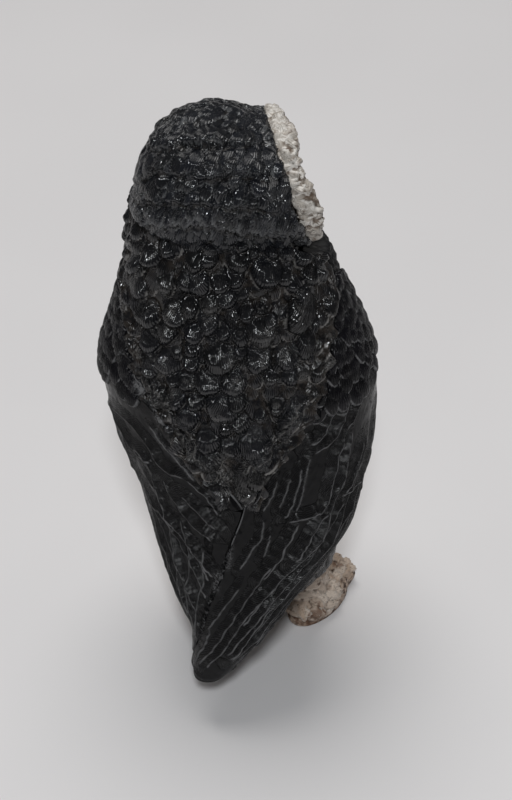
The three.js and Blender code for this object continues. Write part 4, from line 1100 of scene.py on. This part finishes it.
    # the small U-shaped feather on the back of the hood and the bright tuft under it
    d, i = at(98, 34)
    R.feather(V[i], flow(V[i], N[i]), 4.8, 4.6, 1.35, kind=0, barb=0.07, pitch=0.7, rim=0.35, n=N[i], frost=0.25, dome=0.55)
    d, i = at(103, 23)
    R.feather(V[i], flow(V[i], N[i]), 3.0, 2.3, 1.6, kind=0, barb=0.05, rim=0.5, n=N[i], frost=0.8, dome=0.6)
    # bristles standing along the hood's edge round the face
    for k in range(150):
        a = 2 * math.pi * k / 150
        h = headF(10.2)
        p = face_pt(10.4 + 0.3 * rng.random() - 0.5 * rng.random() ** 2, (h[0] + 0.0) * math.cos(a), h[1] * math.sin(a))
        i = R.near(p)
        t = FN * 1.0 + (FT * math.cos(a) + FU * math.sin(a)) * 0.2 + rng.normal(size=3) * 0.15
        nn = (FT * math.cos(a) + FU * math.sin(a))
        R.feather(p + FN * 0.3, t, 2.6, 0.9 + 0.3 * rng.random(), 0.42 + 0.2 * rng.random(), kind=1, barb=0.0, rim=0.25, n=nn, frost=0.1)
    front = smooth(10.5, 10.2, (R.V - HC) @ FN)
    R.H *= front
    R.H = 1.7 * np.tanh(R.H * (1 + 0.2 * wob(R.V, 3.0, 73)) / 1.7) * (1 - 0.5 * smooth(55, 15, az) * smooth(98, 94, R.V[:, 2])) - 0.2 * crease * (1 + 0.5 * wob(R.V, 3.0, 76))
    Vd = R.out(0.05 * wob(R.V, 1.4, 45) * front + 0.01 * wob(R.V, 0.5, 46) * front)
    at_ = attrs_of(R)
    at_["recess_and_shade"] = np.clip(np.maximum(at_["recess_and_shade"] * 0.8, crease), 0, 1)
    return finish_mesh("hood", Vd, faces, at_, HOODM, "head_hood")


# ------------------------------------------------------------------ face
def build_face():
    seg, rings = int(300 * DEN), int(90 * DEN)
    w, h, lip = 10.2, 9.0, 0.8
    a = np.linspace(0, 2 * math.pi, seg, endpoint=False)
    prof = [(9.2, -0.3), (9.25, 0.0), (10.85, 0.0), (11.0, 0.05), (11.05, 0.7)]
    for k in np.linspace(0, 1, int(26 * DEN)):             # rounded wall of the rim
        b = math.pi * (-0.5 + 1.35 * k)
        prof.append((12.0 + 1.05 * math.sin(b) * 0.95, lip - 0.55 + 0.85 * math.cos(b)))
    deg = np.degrees(a)
    gain = 1.0 + 0.95 * np.exp(-((deg - 106) / 26) ** 2) + 0.78 * np.exp(-((deg - 180) / 36) ** 2) - 0.85 * np.exp(-((deg - 248) / 30) ** 2)
    back_lobe = 0.9 * smooth(60, 95, deg) * smooth(235, 200, deg)
    P = []
    for k, (sv, e) in enumerate(prof):
        up_ = np.clip(sv - 11.05, 0, None) * gain if k > 4 else 0.0
        down = -back_lobe * np.exp(-((sv - 11.3) / 0.4) ** 2) if k > 4 else 0.0
        P.append(face_pt(np.where(k > 4, 11.05 + up_, sv) + down, (w + e) * np.cos(a), (h + e) * np.sin(a)))
    e1 = prof[-1][1]
    s1 = prof[-1][0]
    for k in np.linspace(1.0, 0.02, rings)[1:]:
        t, u = k * (w + e1) * np.cos(a), k * (h + e1) * np.sin(a)
        top = 11.05 + (s1 - 11.05) * gain
        floor = 12.2 + (top - 12.2) * smooth(0.84, 1.0, k)
        dish = floor - 1.05 * np.exp(-((np.abs(t) - 4.5) / 3.4) ** 2 - ((u - 0.6) / 4.4) ** 2) * smooth(1.0, 0.8, k)
        ridge = 0.6 * np.exp(-(t / 1.5) ** 2) * smooth(7.6, 2.5, np.abs(u + 0.3))
        brow = 0.4 * np.exp(-((np.abs(t) - 4.0) / 2.6) ** 2 - ((u - 4.6) / 1.2) ** 2)
        P.append(face_pt(dish + ridge + brow, t, u))
    P = np.array(P)
    N = grid_normals(P, True)
    if (N[-30:] @ FN).mean() < 0:
        N = -N
    P = P - N * 0.3
    R = Relief(P, N)
    m, n = P.shape[:2]
    # fine feathers radiating from each eye
    for sg in (1, -1):
        for ring_r, L, W, hh in ((3.2, 1.5, 0.6, 0.26), (4.2, 1.7, 0.65, 0.28), (5.3, 1.8, 0.7, 0.3), (6.5, 1.9, 0.75, 0.32), (7.8, 1.9, 0.8, 0.34)):
            cnt = int(2 * math.pi * ring_r / (W * 0.8))
            for k in range(cnt):
                b = 2 * math.pi * (k + 0.4 * rng.random()) / cnt
                t, u = sg * 4.7 + ring_r * math.cos(b), 1.2 + ring_r * math.sin(b)
                if (t / w) ** 2 + (u / h) ** 2 > 0.93 or t * sg < 0.5:
                    continue
                i = R.near(face_pt(12.0, t, u))
                tv = FT * math.cos(b) + FU * math.sin(b) + rng.normal(size=3) * 0.1
                R.feather(R.V[i], tv, L * (0.9 + 0.3 * rng.random()), W * (0.85 + 0.4 * rng.random()), hh, kind=1, barb=0.0, rim=0.2, n=R.N[i], dome=0.8)
    # rim of short curled tufts, laid from the hood forward
    for lay, (s0, e0, L, hh) in enumerate(((11.3, 0.9, 1.5, 0.45), (11.9, 1.15, 1.6, 0.5), (12.5, 1.05, 1.6, 0.5), (12.95, 0.5, 1.6, 0.45), (12.6, -0.6, 1.6, 0.35))):
        cnt = 74
        for k in range(cnt):
            if rng.random() < 0.15:
                continue
            b = 2 * math.pi * (k + 0.5 * (lay % 2) + 0.3 * rng.random()) / cnt
            p = face_pt(s0 + 0.2 * rng.normal(), (w + e0) * math.cos(b), (h + e0) * math.sin(b))
            i = R.near(p)
            rad = FT * math.cos(b) + FU * math.sin(b)
            tng = -FT * math.sin(b) + FU * math.cos(b)
            tv = FN * (0.5 if lay < 3 else -0.2) + rad * (0.2 if lay < 4 else -0.8) + tng * rng.normal() * 1.2 + rng.normal(size=3) * 0.5
            R.feather(R.V[i], tv, L * (0.7 + 1.1 * rng.random()), 0.5 + 1.2 * rng.random(), hh * (0.6 + 1.2 * rng.random()), kind=1, barb=0.03, pitch=0.5, rim=0.22, n=R.N[i], dome=0.8)
    curl = np.exp(-(wob(R.V, 2.0, 58) / 0.13) ** 2) * smooth(11.0, 11.8, (R.V - HC) @ FN)
    V = R.out(0.05 * wob(R.V, 1.0, 55) - 0.16 * curl)
    M_ = m * n
    f = [list(map(int, q)) for q in quads(m, n, True)]
    V = np.concatenate([V, [face_pt(9.2, 0, 0), V[(m - 1) * n:].mean(0)]])
    for j in range(n):
        f.append([(j + 1) % n, j, M_])
        f.append([(m - 1) * n + j, (m - 1) * n + (j + 1) % n, M_ + 1])
    at_ = attrs_of(R, 0.7)
    d = R.V - HC - np.array([0, 0, DROP])
    t, u, sc = d @ FT, d @ FU, d @ FN
    shade = np.exp(-(((np.abs(t) - 3.6) / 2.3) ** 2 + ((u + 0.2) / 3.4) ** 2)) * 0.9
    rimm = smooth(0.80, 0.95, np.hypot(t / w, u / h))
    ang = np.degrees(np.arctan2(u, t)) % 360
    shade = np.maximum(shade, smooth(0.0, 0.7, wob(R.V, 1.9, 57)) * 0.8 * rimm)
    shade = np.maximum(shade, rimm * np.exp(-((ang - 128) / 8) ** 2) * 0.95)
    # painted shade: the lower part of the rim is darkened with the brown
    shade = np.maximum(shade, rimm * smooth(178, 212, ang) * smooth(300, 250, ang) * 0.62)
    # painted highlight: the top of the rim is kept clear of the brown
    shade = shade * (1 - 0.85 * rimm * np.exp(-((ang - 100) / 14) ** 2))
    shade = np.maximum(shade, curl * 0.8)
    at_["recess_and_shade"] = np.clip(np.maximum(at_["recess_and_shade"] * 0.85, shade), 0, 1)
    # painted highlight: near-white laid on the top of the rim
    at_["frost"] = np.maximum(at_["frost"], rimm * np.exp(-((ang - 100) / 13) ** 2) * 0.95)
    at_["frost"] = np.maximum(at_["frost"], rimm * np.exp(-((sc - 10.9) / 0.35) ** 2) * 0.7)
    return finish_mesh("facial_disc", V, f, at_, FACEM, "face_disc")


def build_eye(sg):
    bm = bmesh.new()
    bmesh.ops.create_uvsphere(bm, u_segments=48, v_segments=32, radius=1.0)
    rot = Matrix((FT, FU, np.cross(FT, FU))).transposed()
    q = Vector((0, 0, 1)).rotation_difference(Vector(FN)).to_matrix()
    c = face_pt(11.2, sg * 4.7, 1.2)
    V = []
    for v in bm.verts:
        p = Vector((v.co.x * 2.6, v.co.y * 2.6, v.co.z * 1.7))
        V.append(np.array(q @ p) + c)
    faces = [[v.index for v in f.verts] for f in bm.faces]
    bm.free()
    return finish_mesh(("left" if sg > 0 else "right") + "_eye_lens", np.array(V), faces, {}, EYEM, ("left" if sg > 0 else "right") + "_eye")


def build_beak():
    B = pchip([(0, 10.0, 0.3, 1.1, 1.4), (1, 10.8, 0.1, 1.15, 1.5), (2, 11.5, -0.4, 1.05, 1.4), (3, 12.05, -1.3, 0.9, 1.15), (4, 12.4, -2.4, 0.65, 0.85),
               (5, 12.4, -3.3, 0.38, 0.5), (6, 12.2, -3.9, 0.1, 0.14)])
    seg, rows = 40, 60
    uu = np.linspace(0, 6, rows)
    T = B(uu)
    dT = np.gradient(T[:, :2], axis=0)
    dT /= np.linalg.norm(dT, axis=1, keepdims=True)
    a = np.linspace(0, 2 * math.pi, seg, endpoint=False)
    P = []
    for i in range(rows):
        s, u, w, d = T[i]
        c, e = w * np.cos(a), d * np.sin(a)
        keel = 0.12 * np.exp(-((a - math.pi / 2) / 0.35) ** 2)
        P.append(face_pt(s + (e + keel) * -dT[i, 1], c, u + (e + keel) * dT[i, 0]))
    P = np.array(P)
    m, n = P.shape[:2]
    f = [list(map(int, q)) for q in quads(m, n, True)]
    V = np.concatenate([P.reshape(-1, 3), [P[0].mean(0), P[-1].mean(0)]])
    for j in range(n):
        f.append([(j + 1) % n, j, m * n])
        f.append([(m - 1) * n + j, (m - 1) * n + (j + 1) % n, m * n + 1])
    return finish_mesh("beak_horn", V, f, {}, HORN, "beak")


# ------------------------------------------------------------------ feet
def build_foot(sg):
    name = "left" if sg > 0 else "right"
    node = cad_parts[name + "_foot"]
    bm = bmesh.new()
    bm.from_mesh(node.data)
    bmesh.ops.remove_doubles(bm, verts=bm.verts, dist=1e-6)
    me = bpy.data.meshes.new("tmp_" + name)
    bm.to_mesh(me)
    bm.free()
    o = bpy.data.objects.new("tmp_" + name, me)
    bpy.context.scene.collection.objects.link(o)
    md = o.modifiers.new("r", "REMESH")
    md.mode = "VOXEL"
    md.voxel_size = 0.00030
    sm = o.modifiers.new("s", "SMOOTH")
    sm.iterations = 12
    sm.factor = 0.5
    dg = bpy.context.evaluated_depsgraph_get()
    ev = o.evaluated_get(dg).to_mesh()
    n = len(ev.vertices)
    V = np.zeros(n * 3)
    ev.vertices.foreach_get("co", V)
    V = V.reshape(-1, 3) * 1000 - SHIFT
    faces = [list(p.vertices) for p in ev.polygons]
    Nn = np.zeros(n * 3)
    ev.vertices.foreach_get("normal", Nn)
    Nn = Nn.reshape(-1, 3)
    o.evaluated_get(dg).to_mesh_clear()
    bpy.data.objects.remove(o)
    bpy.data.meshes.remove(me)
    V[:, 2] = np.where(V[:, 2] < 0.5, np.clip(V[:, 2], 0, None), V[:, 2])
    V = V - Nn * (0.3 * smooth(0.1, 1.0, V[:, 2]))[:, None]
    R = Relief(V, Nn)
    ax = math.radians(-90 + (9 if sg > 0 else -21))
    fwd = np.array([math.cos(ax), math.sin(ax), 0])
    r2 = np.random.default_rng(77)
    cand = np.nonzero((V[:, 2] > 0.9) & (Nn[:, 2] > -0.2))[0]
    pick = r2.permutation(cand)[:130]
    ctr = np.array([9.0, -1.5, 3.0] if sg > 0 else [-10.7, -1.7, 3.0])
    for i in pick:
        p, nn = V[i], Nn[i]
        t = fwd * 0.8 + np.array([0, 0, -0.45]) + (p - ctr) * [0.06, 0.06, 0] + r2.normal(size=3) * 0.35
        R.feather(p, t, 3.0 + r2.random() * 1.8, 1.4 + 0.9 * r2.random(), 0.5 + 0.3 * r2.random(), kind=1, barb=0.1, pitch=0.6, rim=0.25, n=nn, dome=0.8)
    R.H *= smooth(0.15, 0.9, V[:, 2])
    Vd = R.out(0.05 * wob(R.V, 1.2, 65) * smooth(0.1, 0.8, V[:, 2]))
    Vd[:, 2] = np.maximum(Vd[:, 2], 0.0)
    at_ = attrs_of(R)
    curl = np.exp(-(wob(V, 2.3, 81) / 0.15) ** 2)
    Vd = Vd - R.N * (0.2 * curl * smooth(0.6, 1.6, V[:, 2]))[:, None]
    # painted shade: the foot is pushed toward the dark brown of the recesses, darker towards the bottom
    at_["recess_and_shade"] = np.clip(np.maximum(at_["recess_and_shade"], curl * 0.9) + 0.35 * smooth(4.0, 0.5, V[:, 2]), 0, 1)
    return finish_mesh(name + "_foot_feathers", Vd, faces, at_, FOOTM, name + "_foot")


build_back()
build_breast()
build_wing("right")
build_wing("left")
build_tail()
build_head()
build_face()
for sgn in (1, -1):
    build_eye(sgn)
    build_foot(sgn)
build_beak()

# ------------------------------------------------------------------ floor, light, camera
mat, nt, bs = M("table_top")
b = NB(nt)
nz = b.noise(14.0, 2, 0.5)
b.put(bs.inputs["Base Color"], b.mix(b.ramp(nz, 0.3, 0.7), (0.735, 0.722, 0.728), (0.755, 0.742, 0.748)))
b.put(bs.inputs["Roughness"], b.math("ADD", b.math("MULTIPLY", nz, 0.1), 0.62))
bs.inputs["Specular IOR Level"].default_value = 0.25
bm = bmesh.new()
bmesh.ops.create_grid(bm, x_segments=2, y_segments=2, size=3.0)
me = bpy.data.meshes.new("floor")
bm.to_mesh(me)
bm.free()
floor = bpy.data.objects.new("floor", me)
bpy.context.scene.collection.objects.link(floor)
floor.data.materials.append(mat)

world = bpy.data.worlds.new("studio") if not bpy.context.scene.world else bpy.context.scene.world
bpy.context.scene.world = world
world.use_nodes = True
bg = world.node_tree.nodes.get("Background") or world.node_tree.nodes.new("ShaderNodeBackground")
bg.inputs[0].default_value = (1.0, 0.985, 0.98, 1)
bg.inputs[1].default_value = 0.11


def area(name, loc, at, size, power, col=(1, 1, 1)):
    L = bpy.data.lights.new(name, "AREA")
    L.shape = "DISK"
    L.size = size
    L.energy = power
    L.color = col
    o = bpy.data.objects.new(name, L)
    bpy.context.scene.collection.objects.link(o)
    o.location = loc
    o.rotation_euler = (Vector(at) - Vector(loc)).to_track_quat("-Z", "Y").to_euler()
    return o


area("key_soft", (0.07, -0.22, 0.85), (0, 0, 0.05), 0.58, 4.0, (1.0, 0.985, 0.965))
area("glint", (-0.13, 0.60, 0.80), (0, 0, 0.06), 0.11, 4.0, (0.95, 0.98, 1.0))

el, phi, roll = math.radians(40), math.radians(12), math.radians(-3)
Dm, kpx, tx, ty = 330.0, 6.24, 240.08, 396.05
target = np.array([0.0, 4.0, 51.0])
fwd_h = np.array([math.sin(phi), -math.cos(phi), 0])
view = fwd_h * math.cos(el) - np.array([0, 0, 1.0]) * math.sin(el)
pos = target - view * Dm
right = np.cross(view, [0, 0, 1.0])
right /= np.linalg.norm(right)
up = np.cross(right, view)
R2 = right * math.cos(roll) + up * math.sin(roll)
U2 = -right * math.sin(roll) + up * math.cos(roll)
fpx = kpx * Dm
v2 = view * fpx + R2 * (256 - tx) - U2 * (400 - ty)
v2 /= np.linalg.norm(v2)
R3 = R2 - v2 * (R2 @ v2)
R3 /= np.linalg.norm(R3)
U3 = np.cross(R3, v2)
cam = bpy.data.cameras.new("photo_angle")
cam.sensor_fit = "HORIZONTAL"
cam.sensor_width = 36.0
cam.lens = fpx * 36.0 / 512
cam.clip_start = 0.01
cam.clip_end = 20
co = bpy.data.objects.new("photo_angle", cam)
bpy.context.scene.collection.objects.link(co)
mw = Matrix(((R3[0], U3[0], -v2[0], 0), (R3[1], U3[1], -v2[1], 0), (R3[2], U3[2], -v2[2], 0), (0, 0, 0, 1)))
mw.translation = Vector(to_m(pos))
co.matrix_world = mw
bpy.context.scene.camera = co

bpy.context.view_layer.update()
